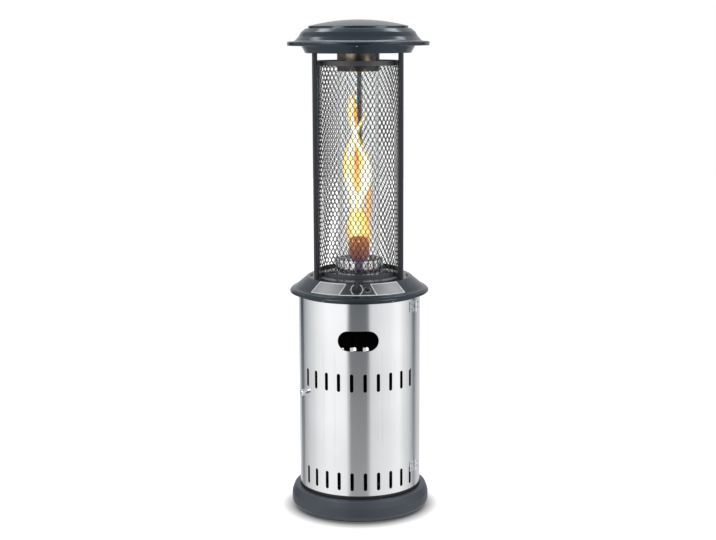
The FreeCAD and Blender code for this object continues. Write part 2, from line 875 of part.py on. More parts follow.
# Gas parts and burner
def gas_inlet():
    """Bent brass pipe from the valve's side, down through the box to a hose thread."""
    start = slope_point(knob_heading, -valve_width / 2, 0, -neck_length - valve_depth / 2)
    x, y = inlet_x, inlet_y
    end_z = box_floor_z - inlet_drop
    route = [start, Vector(x, start.y + 6, start.z - 3), Vector(x, y, start.z - 32),
             Vector(x, y, end_z + inlet_thread_length / 2)]
    body = pipe(route, pipe_radius + 1, 12.0)
    thread = upright_rod(inlet_thread_radius, x, y, end_z, end_z + inlet_thread_length)
    nut = hexagon(inlet_thread_radius + 3, 7, Vector(x, y, end_z + inlet_thread_length))
    bore = upright_rod(pipe_radius - 1, x, y, end_z - 1, end_z + inlet_thread_length)
    return body.fuse([thread, nut]).cut(bore).cut(gas_valve())


def main_gas_pipe():
    """Pipe from the back of the valve to the injector under the burner tube."""
    bottom = -neck_length - valve_depth - 5
    start = slope_point(knob_heading, 0, 0, bottom)
    second = slope_point(knob_heading, 0, 0, bottom - 40)
    low_z = box_floor_z + pipe_radius + 1
    route = [start, second, Vector(0, main_pipe_reach - control_radius, low_z),
             Vector(0, 0, low_z),
             Vector(0, 0, burner_tube_bottom - injector_length / 2)]
    return pipe(route, pipe_radius, 12.0)


def injector():
    """Brass jet that closes the foot of the burner tube."""
    bottom = burner_tube_bottom - injector_length / 2
    middle = burner_tube_bottom
    plug = upright_rod(burner_tube_radius - burner_tube_wall, 0, 0, middle, middle + 6)
    nut = hexagon(burner_tube_radius, middle - bottom, Vector(0, 0, bottom))
    jet = Part.makeCone(6, 3, 12, Vector(0, 0, middle + 6))
    bore = upright_rod(0.8, 0, 0, bottom - 1, middle + 30)
    return nut.fuse([plug, jet]).cut(bore)


def burner_tube():
    """Upright mixing tube with two air windows beside the jet."""
    inner = burner_tube_radius - burner_tube_wall
    tube = band(inner, burner_tube_radius, burner_tube_bottom, cup_top)
    window = box(Vector(-30, -7, burner_tube_bottom + 12), Vector(30, 7, burner_tube_bottom + 34))
    return tube.cut(window)


def burner_head():
    """Perforated steel cup over the mixing tube, closed by a dished top."""
    top = cup_top + burner_head_height
    outline = [
        (burner_tube_radius, cup_top), (burner_head_radius - 4, cup_top, 3.0),
        (burner_head_radius, cup_top + 6, 3.0), (burner_head_radius, top - 8, 6.0),
        (burner_head_radius - 9, top, 5.0), (0, top)]
    cup = spun(sheet_face(outline, -steel_sheet))
    socket = band(burner_tube_radius, burner_tube_radius + steel_sheet, cup_top - 8,
                  cup_top + 2)
    cup = cup.fuse(socket)
    holes = []
    for row in range(burner_head_rows):
        z = cup_top + 16 + row * (burner_head_height - 34) / (burner_head_rows - 1)
        for k in range(burner_head_holes):
            hole = radial_rod(burner_head_hole_radius, burner_head_radius - 6,
                              burner_head_radius + 4, z)
            holes.append(turned(hole, 360 * (k + 0.5 * (row % 2)) / burner_head_holes))
    for k in range(6):
        holes.append(turned(upright_rod(burner_head_hole_radius, 17, 0, top - 6, top + 3), 60 * k))
    return cup.cut(holes)


def pilot_places():
    """Places of the pilot, the flame probe and the spark electrode beside the burner."""
    x = pilot_offset
    return Vector(x, 0, 0), Vector(x, -probe_spacing, 0), Vector(x, probe_spacing, 0)


def burner_plate():
    """Steel disc that closes the foot of the glass round the burner tube."""
    radius = glass_radius - glass_wall - 1.5
    bottom = glass_seat_z + steel_sheet
    plate = band(burner_tube_radius, radius, bottom, bottom + steel_sheet)
    holes = []
    for place in pilot_places():
        holes.append(upright_rod(3.2, place.x, place.y, bottom - 2, bottom + 5))
    for k in range(8):
        holes.append(turned(upright_rod(4.0, 40, 0, bottom - 2, bottom + 5), 22.5 + 45 * k))
    return plate.cut(holes)


def pilot_burner():
    """Pilot tube on a small foot, with a hood that aims its flame at the burner."""
    place = pilot_places()[0]
    foot_z = glass_seat_z + 2 * steel_sheet
    top = foot_z + pilot_hood_height
    tube = upright_rod(3.2, place.x, place.y, foot_z - 2 * steel_sheet, top - 10)
    foot = upright_rod(6.0, place.x, place.y, foot_z, foot_z + 3)
    hood = upright_rod(5.0, place.x, place.y, top - 14, top)
    notch = box(Vector(place.x - 8, -3, top - 8), Vector(place.x, 3, top + 1))
    return tube.fuse([foot, hood]).cut(notch)


def pilot_gas_pipe():
    """Thin pipe from the valve's back to the pilot."""
    place = pilot_places()[0]
    back = -neck_length - valve_depth
    start = slope_point(knob_heading, valve_width / 2 - 7, valve_height / 4, back)
    second = slope_point(knob_heading, valve_width / 2 - 7, valve_height / 4, back - 16)
    low_z = box_floor_z + 36
    route = [start, second, Vector(5, pilot_pipe_reach - control_radius, low_z),
             Vector(place.x, 0, low_z), Vector(place.x, 0, glass_seat_z)]
    return pipe(route, pilot_pipe_radius, 12.0)


def thermocouple():
    """Flame probe beside the pilot, with its copper lead back to the valve."""
    place = pilot_places()[1]
    back = -neck_length - valve_depth
    start = slope_point(knob_heading, valve_width / 2 - 7, -valve_height / 4, back)
    second = slope_point(knob_heading, valve_width / 2 - 7, -valve_height / 4, back - 18)
    low_z = box_floor_z + 20
    top = glass_seat_z + pilot_hood_height
    route = [start, second, Vector(place.x + 12, probe_lead_reach - control_radius, low_z),
             Vector(place.x, place.y, low_z), Vector(place.x, place.y, glass_seat_z)]
    lead = pipe(route, lead_radius, 9.0)
    probe = upright_rod(probe_radius, place.x, place.y, glass_seat_z - 6, top)
    seat = upright_rod(4.5, place.x, place.y, glass_seat_z + 2 * steel_sheet,
                       glass_seat_z + 2 * steel_sheet + 3)
    return lead.fuse([probe, seat])


def igniter_electrode():
    """Ceramic rod with a spark pin, held in the burner plate."""
    place = pilot_places()[2]
    foot_z = glass_seat_z + 2 * steel_sheet
    rod = upright_rod(3.2, place.x, place.y, glass_seat_z - 10, foot_z + 38)
    seat = upright_rod(4.5, place.x, place.y, foot_z, foot_z + 3)
    pin = upright_rod(1.0, place.x, place.y, foot_z + 38, foot_z + 52)
    return rod.fuse([seat, pin])


def igniter_lead():
    """High-voltage lead from the igniter's tail to the foot of the electrode."""
    place = pilot_places()[2]
    start = slope_point(button_heading, 0, 0, -igniter_length)
    second = slope_point(button_heading, 0, 0, -igniter_length - 14)
    low_z = box_floor_z + 62
    end = Vector(place.x, place.y, glass_seat_z - 10)
    route = [start, second, Vector(place.x + 14, igniter_lead_reach - control_radius, low_z),
             Vector(place.x + 14, -10, low_z), Vector(place.x, place.y, low_z + 12), end]
    return pipe(route, lead_radius, 7.0)


def tilt_switch():
    """Sealed switch on the box floor that cuts the gas when the heater leans."""
    low = Vector(-104, 40, box_floor_z)
    body = box(low, low + Vector(34, 26, 24))
    body = body.makeChamfer(2.0, body.Edges)
    foot = box(low + Vector(-9, 6, 0), low + Vector(43, 20, 2))
    return body.fuse(foot)


# Glass and its holders
def glass_cup():
    """Slotted steel cup on the deck, with the ledge that the glass stands on."""
    inner = glass_cup_radius - pressed_sheet
    wall = band(inner, glass_cup_radius, deck_top, cup_top)
    flange = band(glass_cup_radius - 1, glass_cup_radius + cup_flange, deck_top,
                  deck_top + steel_sheet)
    ledge = band(glass_radius - glass_wall - 7, inner + 0.5, glass_seat_z,
                 glass_seat_z + steel_sheet)
    cup = wall.fuse([flange, ledge]).removeSplitter()
    slots = []
    slot_z = glass_seat_z + 6 + cup_slot_height / 2
    for k in range(cup_slots):
        slot = radial_slot(cup_slot_width, cup_slot_height, inner - 3, glass_cup_radius + 3, slot_z)
        slots.append(turned(slot, 360 * (k + 0.5) / cup_slots))
    return cup.cut(slots + cup_screws())


def cup_screws():
    screws = []
    for k in range(3):
        one = screw(small_screw_radius, small_screw_length - 3, small_head_radius,
                    small_head_height)
        one.translate(Vector(glass_cup_radius + cup_flange / 2 + 1, 0, deck_top + steel_sheet))
        screws.append(turned(one, 30 + 120 * k))
    return screws


def glass_gaskets():
    inner = glass_radius - glass_wall - 0.8
    rings = []
    for bottom in (glass_seat_z + steel_sheet, glass_top):
        rings.append(band(inner, glass_radius + 0.3, bottom, bottom + gasket_height))
    return rings


def glass_tube():
    return band(glass_radius - glass_wall, glass_radius, glass_bottom, glass_top)


def glass_collar():
    """Steel collar under the tray that holds the top of the glass."""
    inner = glass_radius + collar_glass_gap
    outer = inner + collar_wall
    wall = band(inner, outer, tray_z - collar_height, tray_z)
    flange = band(outer - 0.5, outer + 12, tray_z - steel_sheet, tray_z)
    ledge = band(glass_radius - glass_wall - 1, inner + 0.5, ledge_z, ledge_z + steel_sheet)
    return wall.fuse([flange, ledge]).removeSplitter()


# Guard and posts
def guard_ring(bottom):
    return band(mesh_radius, guard_radius, bottom, bottom + guard_band_height)


def mesh_panel():
    """A third of the guard: a curved sheet with staggered diamond openings."""
    bottom = guard_bottom + guard_mesh_overlap
    top = guard_top - guard_mesh_overlap
    inner = mesh_radius - guard_mesh_sheet
    sheet = band(inner, mesh_radius, bottom, top, 0.1, 119.9)
    margin = math.degrees(mesh_border / mesh_radius)
    pitch_angle = (120.0 - 2 * margin) / mesh_columns
    pitch_z = (top - bottom - 2 * mesh_border) / mesh_rows
    half_width = math.radians(pitch_angle) * mesh_radius / 2
    half_height = pitch_z / 2
    diagonal = math.hypot(half_width, half_height)
    reach_y = half_width - mesh_strand / 2 * diagonal / half_height
    reach_z = half_height - mesh_strand / 2 * diagonal / half_width
    openings = []
    for stagger in (0, 1):
        for column in range(mesh_columns - stagger):
            heading = margin + (column + 0.5 + 0.5 * stagger) * pitch_angle
            for row in range(mesh_rows - stagger):
                z = bottom + mesh_border + (row + 0.5 + 0.5 * stagger) * pitch_z
                corners = [Vector(inner - 4, reach_y, z), Vector(inner - 4, 0, z + reach_z),
                           Vector(inner - 4, -reach_y, z), Vector(inner - 4, 0, z - reach_z),
                           Vector(inner - 4, reach_y, z)]
                prism = Part.Face(Part.makePolygon(corners)).extrude(Vector(10, 0, 0))
                openings.append(turned(prism, heading))
    return sheet.cut(openings)


def guard_mesh():
    panel = mesh_panel()
    panels = []
    for heading in post_headings:
        copy = panel.copy()
        copy.rotate(origin, up, heading)
        panels.append(copy)
    return panels


def post(heading):
    tube = band(post_radius - post_wall, post_radius, deck_top, tray_z)
    top_edge = [edge for edge in tube.Edges
                if edge.CenterOfMass.z > tray_z - 0.01 and edge.Length > 6.2 * post_radius]
    tube = tube.makeChamfer(1.0, top_edge)
    tube.translate(Vector(post_circle, 0, 0))
    return turned(tube, heading)


def tie_rods():
    """Threaded rods inside the posts that pull the tray down on the deck."""
    low = deck_top - pressed_sheet - plate_sheet - post_nut_height - 3
    high = tray_z + pressed_sheet + post_nut_height + 3
    return [turned(upright_rod(tie_rod_radius, post_circle, 0, low, high), heading)
            for heading in post_headings]


def post_nuts():
    levels = (deck_top - pressed_sheet - plate_sheet - post_nut_height, tray_z + pressed_sheet)
    nuts = []
    for level in levels:
        for heading in post_headings:
            nut = hexagon(post_nut_radius, post_nut_height, Vector(post_circle, 0, level))
            bore = upright_rod(tie_rod_radius, post_circle, 0, level - 1,
                               level + post_nut_height + 1)
            nuts.append(turned(nut.cut(bore), heading))
    return nuts


def post_brackets():
    """Saddles between the guard's two rings and the posts."""
    brackets = []
    for level in (guard_bottom + guard_band_height / 2, guard_top - guard_band_height / 2):
        for heading in post_headings:
            saddle = box(Vector(mesh_radius, -bracket_width / 2, level - bracket_height / 2),
                         Vector(post_circle, bracket_width / 2, level + bracket_height / 2))
            saddle = saddle.cut(upright_rod(guard_radius, 0, 0, 0, hood_top))
            saddle = saddle.cut(upright_rod(post_radius, post_circle, 0, 0, hood_top))
            brackets.append(turned(saddle, heading))
    return brackets


# Hood
def hood_tray():
    """Shallow flared dish on top of the posts, open in the middle for the flame's gases."""
    outline = [
        (tray_hole_radius, tray_z), (tray_radius, tray_z, 4.0),
        (tray_lip_radius, hood_rim_z, 1.0), (tray_lip_radius + tray_flange, hood_rim_z)]
    tray = spun(sheet_face(outline, -pressed_sheet))
    rod_holes = [turned(upright_rod(tie_rod_radius, post_circle, 0, tray_z - 5, tray_z + 5),
                        heading) for heading in post_headings]
    return tray.cut(rod_holes + hood_screws() + baffle_leg_rivets())


def hood():
    """Pressed hood: shallow domed cap, a step, a flared slope and a deep rolled rim."""
    arc_end = dome_radius - dome_edge
    crown_radius = (arc_end ** 2 + dome_drop ** 2) / (2 * dome_drop)
    turn = math.asin(arc_end / crown_radius)
    cap_z = hood_top - dome_drop - (dome_edge - 1) * math.tan(turn)
    step_z = cap_z - dome_step
    rim_top = hood_rim_z + hood_rim_thickness
    outline = [
        (0, hood_top), (crown_radius * math.tan(turn / 2), hood_top, crown_radius),
        (dome_radius - 1, cap_z, 2.0), (dome_radius, step_z, 1.0),
        (dome_radius + 10, step_z - 1.0, 4.0), (dome_radius + 25, rim_top + 33.0, 15.0),
        (dome_radius + 33.5, rim_top + 18.0, 20.0), (dome_radius + 49, rim_top + 1.3, 14.0),
        (hood_rim_radius, rim_top, 6.0), (hood_rim_radius, hood_rim_z, 5.0),
        (hood_lip_radius, hood_rim_z)]
    return spun(sheet_face(outline, pressed_sheet)).cut(hood_screws())


def bracket_headings():
    return [0, 120, 240]


def hood_screw_circles():
    """Radii of the two screws in each strip: one in the tray's flange, one in the hood's lip."""
    return (tray_lip_radius + tray_flange / 2 + 0.5, hood_lip_radius + 9)


def hood_brackets():
    """Flat strips that carry the hood across the gap round the tray."""
    bottom = hood_rim_z + pressed_sheet
    strips = []
    for heading in bracket_headings():
        strip = box(Vector(tray_lip_radius + 1.5, -bracket_strip / 2, bottom),
                    Vector(hood_lip_radius + 18, bracket_strip / 2, bottom + 2.5))
        strips.append(turned(strip, heading).cut(hood_screws()))
    return strips


def hood_screws():
    screws = []
    for heading in bracket_headings():
        for radius in hood_screw_circles():
            one = screw(small_screw_radius, small_screw_length - 1, small_head_radius - 0.5,
                        small_head_height)
            one.rotate(origin, outward, 180)
            one.translate(Vector(radius, 0, hood_rim_z))
            screws.append(turned(one, heading))
    return screws


def baffle_leg_rivets():
    """Rivet shanks of the baffle's three legs, through the tray."""
    rivets = []
    for heading in post_headings:
        rivets.append(turned(upright_rod(2.5, baffle_radius - 25, 0, tray_z, tray_z + 4), heading))
    return rivets


def heat_baffle():
    """Dished steel disc that turns the hot gases outwards, on three bent legs."""
    disc_z = tray_z + baffle_rise
    outline = [(0, disc_z), (baffle_radius - 12, disc_z, 8.0), (baffle_radius, disc_z - 7)]
    baffle = spun(sheet_face(outline, steel_sheet))
    leg_radius = baffle_radius - 25
    for heading in post_headings:
        leg = box(Vector(leg_radius - 9, -9, tray_z + pressed_sheet),
                  Vector(leg_radius - 9 + steel_sheet, 9, disc_z - steel_sheet / 2))
        foot = box(Vector(leg_radius - 9, -9, tray_z + pressed_sheet),
                   Vector(leg_radius + 9, 9, tray_z + pressed_sheet + steel_sheet))
        rivet = upright_rod(2.5, leg_radius, 0, tray_z, tray_z + 4)
        baffle = baffle.fuse(turned(leg.fuse([foot, rivet]), heading))
    return baffle


os.makedirs("parts", exist_ok=True)
save("rubber_feet", *rubber_feet())
save("foot_screws", *foot_screws())
save("base_pan", base_pan())
save("base_ring", base_ring())
save("front_uprights", upright(seam_heading + jamb_angle, 1),
     upright(-seam_heading - jamb_angle, -1))
save("rear_uprights", upright(rear_upright_heading, 1), upright(-rear_upright_heading, -1))
save("deck_base", deck_base())
save("burner_box", burner_box())
save("rear_housing", rear_housing())
save("cabinet_screws", *cabinet_screws(), *hinge_screws(1), *base_ring_screws(), *deck_screws(),
     *cup_screws())
save("door", door())
save("door_rails", *door_rails())
save("hinge_door_screws", *hinge_screws(-1))
save("hinge_fixed_leaves", *[hinge_leaf(level, 1) for level in hinge_levels])
save("hinge_door_leaves", *[hinge_leaf(level, -1) for level in hinge_levels])
save("hinge_pins", *hinge_pins())
save("latch_rosette", latch_rosette())
save("latch_knob", latch_knob())
save("latch_cam", latch_cam())
save("deck", deck())
save("deck_stiffener", deck_stiffener())
save("deck_bolts", *deck_bolts())
save("control_panel", control_panel())
save("gas_valve", gas_valve())
save("push_collar", push_collar())
save("valve_spindle", valve_spindle())
save("control_knob", control_knob())
save("igniter_body", igniter_body())
save("igniter_button", igniter_button())
save("panel_nuts", *panel_nuts())
save("gas_inlet", gas_inlet())
save("main_gas_pipe", main_gas_pipe())
save("injector", injector())
save("burner_tube", burner_tube())
save("burner_head", burner_head())
save("burner_plate", burner_plate())
save("pilot_burner", pilot_burner())
save("pilot_gas_pipe", pilot_gas_pipe())
save("thermocouple", thermocouple())
save("igniter_electrode", igniter_electrode())
save("igniter_lead", igniter_lead())
save("tilt_switch", tilt_switch())
save("glass_cup", glass_cup())
save("glass_gaskets", *glass_gaskets())
save("glass_tube", glass_tube())
save("glass_collar", glass_collar())
save("guard_ring_lower", guard_ring(guard_bottom))
save("guard_ring_upper", guard_ring(guard_top - guard_band_height))
save("guard_mesh", *guard_mesh())
save("post_front_left", post(post_headings[0]))
save("post_front_right", post(post_headings[1]))
save("post_rear", post(post_headings[2]))
save("tie_rods", *tie_rods())
save("post_nuts", *post_nuts())
save("post_brackets", *post_brackets())
save("hood_tray", hood_tray())
save("hood", hood())
save("hood_brackets", *hood_brackets())
save("hood_screws", *hood_screws())
save("heat_baffle", heat_baffle())
print("overall height %.1f mm, base diameter %.1f mm" % (hood_top, 2 * base_ring_radius))
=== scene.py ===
# %% [markdown]
# A patio heater with a flame in a glass tube
#
# The real object is a round steel cabinet that holds a gas bottle, a grey pressed deck with the
# controls, and a caged glass tube with the flame, under a flat hood. Its solids come from the
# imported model. This lesson gives them their finishes, and adds what is too fine or too soft for
# the solids: the wire guard, the print on the panel, and the flame.

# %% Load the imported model
import json
import math

import bpy
import numpy as np
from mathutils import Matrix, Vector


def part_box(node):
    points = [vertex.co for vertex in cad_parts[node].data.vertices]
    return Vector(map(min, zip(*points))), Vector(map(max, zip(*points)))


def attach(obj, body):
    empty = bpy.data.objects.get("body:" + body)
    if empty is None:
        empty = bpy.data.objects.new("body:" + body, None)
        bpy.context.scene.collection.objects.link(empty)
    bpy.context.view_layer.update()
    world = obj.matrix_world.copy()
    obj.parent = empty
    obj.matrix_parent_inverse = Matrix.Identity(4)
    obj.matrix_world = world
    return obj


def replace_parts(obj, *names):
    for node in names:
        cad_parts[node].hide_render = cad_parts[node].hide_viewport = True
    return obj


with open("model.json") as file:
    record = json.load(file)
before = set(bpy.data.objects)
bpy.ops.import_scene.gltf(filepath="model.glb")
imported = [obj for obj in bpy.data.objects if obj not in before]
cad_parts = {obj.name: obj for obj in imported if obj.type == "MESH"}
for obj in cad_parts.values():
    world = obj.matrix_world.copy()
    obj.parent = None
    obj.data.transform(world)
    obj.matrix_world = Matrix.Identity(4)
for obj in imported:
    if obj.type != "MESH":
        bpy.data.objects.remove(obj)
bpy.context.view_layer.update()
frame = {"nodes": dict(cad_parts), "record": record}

# %% [markdown]
# The camera
#
# A photographer who shows a tall thing stands back and uses a long lens, so that the rings at
# the top and at the foot look nearly equally open. The rings of this heater show how high the
# camera stood: a little below the hood, tipped down by less than ten degrees. It stood one
# degree to the right of the front, and a very small step aside brings the heater to the middle.

# %% Place the camera
camera_data = bpy.data.cameras.new("camera")
camera_data.sensor_width = 36.0
camera_data.lens = 71.4
camera = bpy.data.objects.new("camera", camera_data)
camera_distance = 5.181
camera_height = 1.754
camera_heading = math.radians(1.2)
camera_tip = math.radians(9.5)
camera_roll = math.radians(0.25)
camera_aside = -0.0006
camera.location = (camera_distance * math.sin(camera_heading) + camera_aside,
                   -camera_distance * math.cos(camera_heading), camera_height)
camera.rotation_euler = (math.pi / 2 - camera_tip, camera_roll, camera_heading)
bpy.context.scene.collection.objects.link(camera)
bpy.context.scene.camera = camera
bpy.context.scene.view_settings.view_transform = "Standard"
print("camera at", tuple(camera.location), "lens", camera_data.lens)

# %% [markdown]
# Nodes in a few words
#
# A material is a small network. These helpers keep each one short: they add a node and fill or
# link its inputs, calculate, spread or mix values, and place a group that finishes share.


# %% Helpers for nodes
def add(tree, kind, inputs=None, **settings):
    """One node. A value in inputs is a number, a colour, or another node's output to link."""
    node = tree.nodes.new(kind)
    for key, value in settings.items():
        setattr(node, key, value)
    for key, value in (inputs or {}).items():
        if isinstance(value, bpy.types.NodeSocket):
            tree.links.new(value, node.inputs[key])
        else:
            node.inputs[key].default_value = value
    return node


def calculate(tree, operation, *values, **settings):
    """The output of a Math node."""
    return add(tree, "ShaderNodeMath", dict(enumerate(values)), operation=operation,
               **settings).outputs[0]


def scaled(tree, value, inputs, outputs=(0.0, 1.0)):
    """A value whose range `inputs` is spread over the range `outputs`, and held at its ends."""
    return add(tree, "ShaderNodeMapRange", {"Value": value, "From Min": inputs[0],
                                            "From Max": inputs[1], "To Min": outputs[0],
                                            "To Max": outputs[1]}).outputs[0]


def noise(tree, place, scale, detail, **inputs):
    """The value of a Noise Texture, near 0.5 on average."""
    return add(tree, "ShaderNodeTexNoise", {"Vector": place, "Scale": scale, "Detail": detail,
                                            **inputs}).outputs[0]


def mixed_colour(tree, factor, first, second):
    """The first colour where the factor is 0, and the second where it is 1."""
    return add(tree, "ShaderNodeMix", {"Factor": factor, "A": first, "B": second},
               data_type="RGBA").outputs["Result"]


def make_group(name, inputs, outputs):
    """An empty group with these sockets, and its input and output nodes."""
    tree = bpy.data.node_groups.new(name, "ShaderNodeTree")
    for label, (kind, value) in inputs.items():
        socket = tree.interface.new_socket(label, in_out="INPUT", socket_type=kind)
        socket.default_value = value
    for label, kind in outputs.items():
        tree.interface.new_socket(label, in_out="OUTPUT", socket_type=kind)
    return tree, tree.nodes.new("NodeGroupInput"), tree.nodes.new("NodeGroupOutput")


def surface(tree, shader, group, inputs, used=("Base Color", "Roughness", "Normal")):
    """Place a group and give its colour, roughness and normal to the shader."""
    effect = add(tree, "ShaderNodeGroup", inputs, node_tree=group)
    for output, label in zip(("Color", "Roughness", "Normal"), used):
        tree.links.new(effect.outputs[output], shader.inputs[label])


def new_material(name, **constants):
    """A material whose shader has these constants, and nothing linked yet."""
    material = bpy.data.materials.new(name)
    material.use_nodes = True
    shader = material.node_tree.nodes["Principled BSDF"]
    for key, value in constants.items():
        shader.inputs[key.replace("_", " ")].default_value = value
    return material, material.node_tree, shader


def ramp(tree, factor, stops):
    """A colour ramp with stops of (place, colour)."""
    node = add(tree, "ShaderNodeValToRGB", {"Fac": factor})
    elements = node.color_ramp.elements
    while len(elements) < len(stops):
        elements.new(0.5)
    for element, (place, colour) in zip(elements, stops):
        element.position = place
        element.color = (*colour, 1.0)
    return node


print("helpers ready")

# %% [markdown]
# Two surface effects
#
# Brushed sheet shows fine lines along the way it was rubbed, so its noise is stretched along Z.
# Powder coat has a soft orange peel with slow changes of tone. Both effects put out a colour, a
# roughness and a normal, and each finish feeds them with its own values.

# %% Brushed lines
effect_outputs = {"Color": "NodeSocketColor", "Roughness": "NodeSocketFloat",
                  "Normal": "NodeSocketVector"}


def end_group(tree, group_out, colour, roughness, height, depth, distance):
    """Link a colour, a roughness, and the normal of a height, to a group's outputs."""
    bump = add(tree, "ShaderNodeBump", {"Height": height, "Distance": distance,
                                        "Strength": depth})
    for label, value in (("Color", colour), ("Roughness", roughness),
                         ("Normal", bump.outputs[0])):
        tree.links.new(value, group_out.inputs[label])


brushed_lines, line_in, line_out = make_group(
    "brushed_lines",
    {"Colour": ("NodeSocketColor", (0.6, 0.6, 0.6, 1.0)), "Roughness": ("NodeSocketFloat", 0.2),
     "Spread": ("NodeSocketFloat", 0.05), "Depth": ("NodeSocketFloat", 0.1)}, effect_outputs)
place = add(brushed_lines, "ShaderNodeTexCoord").outputs["Object"]
stretched = add(brushed_lines, "ShaderNodeMapping", {"Vector": place,
                                                     "Scale": (900.0, 900.0, 9.0)})
lines = noise(brushed_lines, stretched.outputs[0], 1.0, 2.0)
cloud = noise(brushed_lines, place, 5.0, 3.0)
swing = calculate(brushed_lines, "SUBTRACT", lines, 0.5)
rough = calculate(brushed_lines, "MULTIPLY_ADD", swing, line_in.outputs["Spread"],
                  line_in.outputs["Roughness"])
tone = scaled(brushed_lines, cloud, (0.3, 0.7), (0.95, 1.03))
shade = add(brushed_lines, "ShaderNodeVectorMath", {0: line_in.outputs["Colour"],
                                                    "Scale": tone}, operation="SCALE")
end_group(brushed_lines, line_out, shade.outputs[0], rough, lines, line_in.outputs["Depth"],
          0.00002)
print("brushed lines:", len(brushed_lines.nodes), "nodes")

# %% Powder coat
powder_coat, coat_in, coat_out = make_group(
    "powder_coat",
    {"Colour": ("NodeSocketColor", (0.1, 0.1, 0.1, 1.0)), "Roughness": ("NodeSocketFloat", 0.4),
     "Grain": ("NodeSocketFloat", 900.0), "Depth": ("NodeSocketFloat", 0.15)}, effect_outputs)
place = add(powder_coat, "ShaderNodeTexCoord").outputs["Object"]
peel = noise(powder_coat, place, coat_in.outputs["Grain"], 2.0)
patch = noise(powder_coat, place, 14.0, 4.0)
tone = scaled(powder_coat, patch, (0.3, 0.7), (0.9, 1.1))
shade = add(powder_coat, "ShaderNodeVectorMath", {0: coat_in.outputs["Colour"],
                                                  "Scale": tone}, operation="SCALE")
swing = calculate(powder_coat, "MULTIPLY_ADD", peel, 0.12, -0.06)
rough = calculate(powder_coat, "ADD", swing, coat_in.outputs["Roughness"])
end_group(powder_coat, coat_out, shade.outputs[0], rough, peel, coat_in.outputs["Depth"], 0.0001)
print("powder coat:", len(powder_coat.nodes), "nodes")

# %% [markdown]
# The finishes
#
# Most of this heater is one of three finishes: brushed stainless steel on the cabinet, satin
# slate powder coat on the pressings, and satin black on the guard and the frame. The small
# parts are chrome, brass, zinc plate, plastic and rubber. Each is the same effect with other
# values, made by one short function for metals and one for coats. The base ring, the guard's
# rings and the posts share a paint in the record, but each has a shade of its own here.


# %% Metals and coats
def metal(name, colour, roughness, spread=0.06, depth=0.1):
    """Bare metal with brushed or drawn lines."""
    material, tree, shader = new_material(name, Metallic=1.0)
    surface(tree, shader, brushed_lines, {"Colour": (*colour, 1.0), "Roughness": roughness,
                                          "Spread": spread, "Depth": depth})
    return material


def coat(name, colour, roughness, grain=900.0, depth=0.15, **constants):
    """Paint, plastic or rubber with a fine grain."""
    material, tree, shader = new_material(name, **constants)
    surface(tree, shader, powder_coat, {"Colour": (*colour, 1.0), "Roughness": roughness,
                                        "Grain": grain, "Depth": depth})
    return material


finishes = {
    "slate_paint": coat("slate_paint", (0.009, 0.014, 0.021), 0.2,
                        Specular_Tint=(0.68, 0.86, 1.0, 1.0)),
    "black_paint": coat("black_paint", (0.012, 0.012, 0.014), 0.38),
    "zinc_plate": metal("zinc_plate", (0.55, 0.56, 0.58), 0.38),
    "chrome": metal("chrome", (0.86, 0.87, 0.89), 0.08, spread=0.02, depth=0.02),
    "knob_plastic": coat("knob_plastic", (0.018, 0.018, 0.02), 0.42, grain=1400.0),
    "cast_alloy": metal("cast_alloy", (0.55, 0.55, 0.56), 0.45),
    "brass": metal("brass", (0.68, 0.48, 0.2), 0.28),
    "rubber": coat("rubber", (0.02, 0.02, 0.02), 0.75, grain=500.0),
    "fibre": coat("fibre", (0.6, 0.57, 0.5), 0.9, grain=700.0, depth=0.6),
    "ceramic": coat("ceramic", (0.75, 0.74, 0.7), 0.3, depth=0.03),
    "lead_sleeve": coat("lead_sleeve", (0.25, 0.03, 0.02), 0.5),
    "panel_print": coat("panel_print", (0.03, 0.033, 0.038), 0.32, depth=0.05),
}
base_paint = coat("base_paint", (0.032, 0.041, 0.055), 0.42)
ring_paint = coat("ring_paint", (0.04, 0.043, 0.048), 0.4)
post_paint = coat("post_paint", (0.011, 0.014, 0.019), 0.3)
own_finishes = {"base_ring": base_paint, "guard_ring_lower": ring_paint,
                "guard_ring_upper": ring_paint, "post_front_left": post_paint,
                "post_front_right": post_paint, "post_rear": post_paint}
print(len(finishes), "finishes of metal and coat, and three shades of their own")

# %% [markdown]
# Steel that changes from place to place
#
# The cabinet's sheet is bright outside. On its inner side it is dull, and dark with a painted
# shade: a near-black grey stands in for the shade inside the cabinet, so the vents and the hand
# slot look into a dark cabinet. The hem round the hand slot is polished too. Radius and height
# tell the two apart. The cup at the foot of the glass is bright, and the collar at its top,
# which stands in the hot gases, has turned brown and blue.


# %% Cabinet steel
def object_axes(tree):
    """The place on the object, as a vector and as its three coordinates."""
    place = add(tree, "ShaderNodeTexCoord").outputs["Object"]
    return place, add(tree, "ShaderNodeSeparateXYZ", {0: place}).outputs


def between(tree, value, low, high, edge=0.0005):
    """1 where low < value < high, else 0, with an edge of 1 mm."""
    over = scaled(tree, value, (low - edge, low + edge))
    under = scaled(tree, value, (high + edge, high - edge))
    return calculate(tree, "MULTIPLY", over, under)


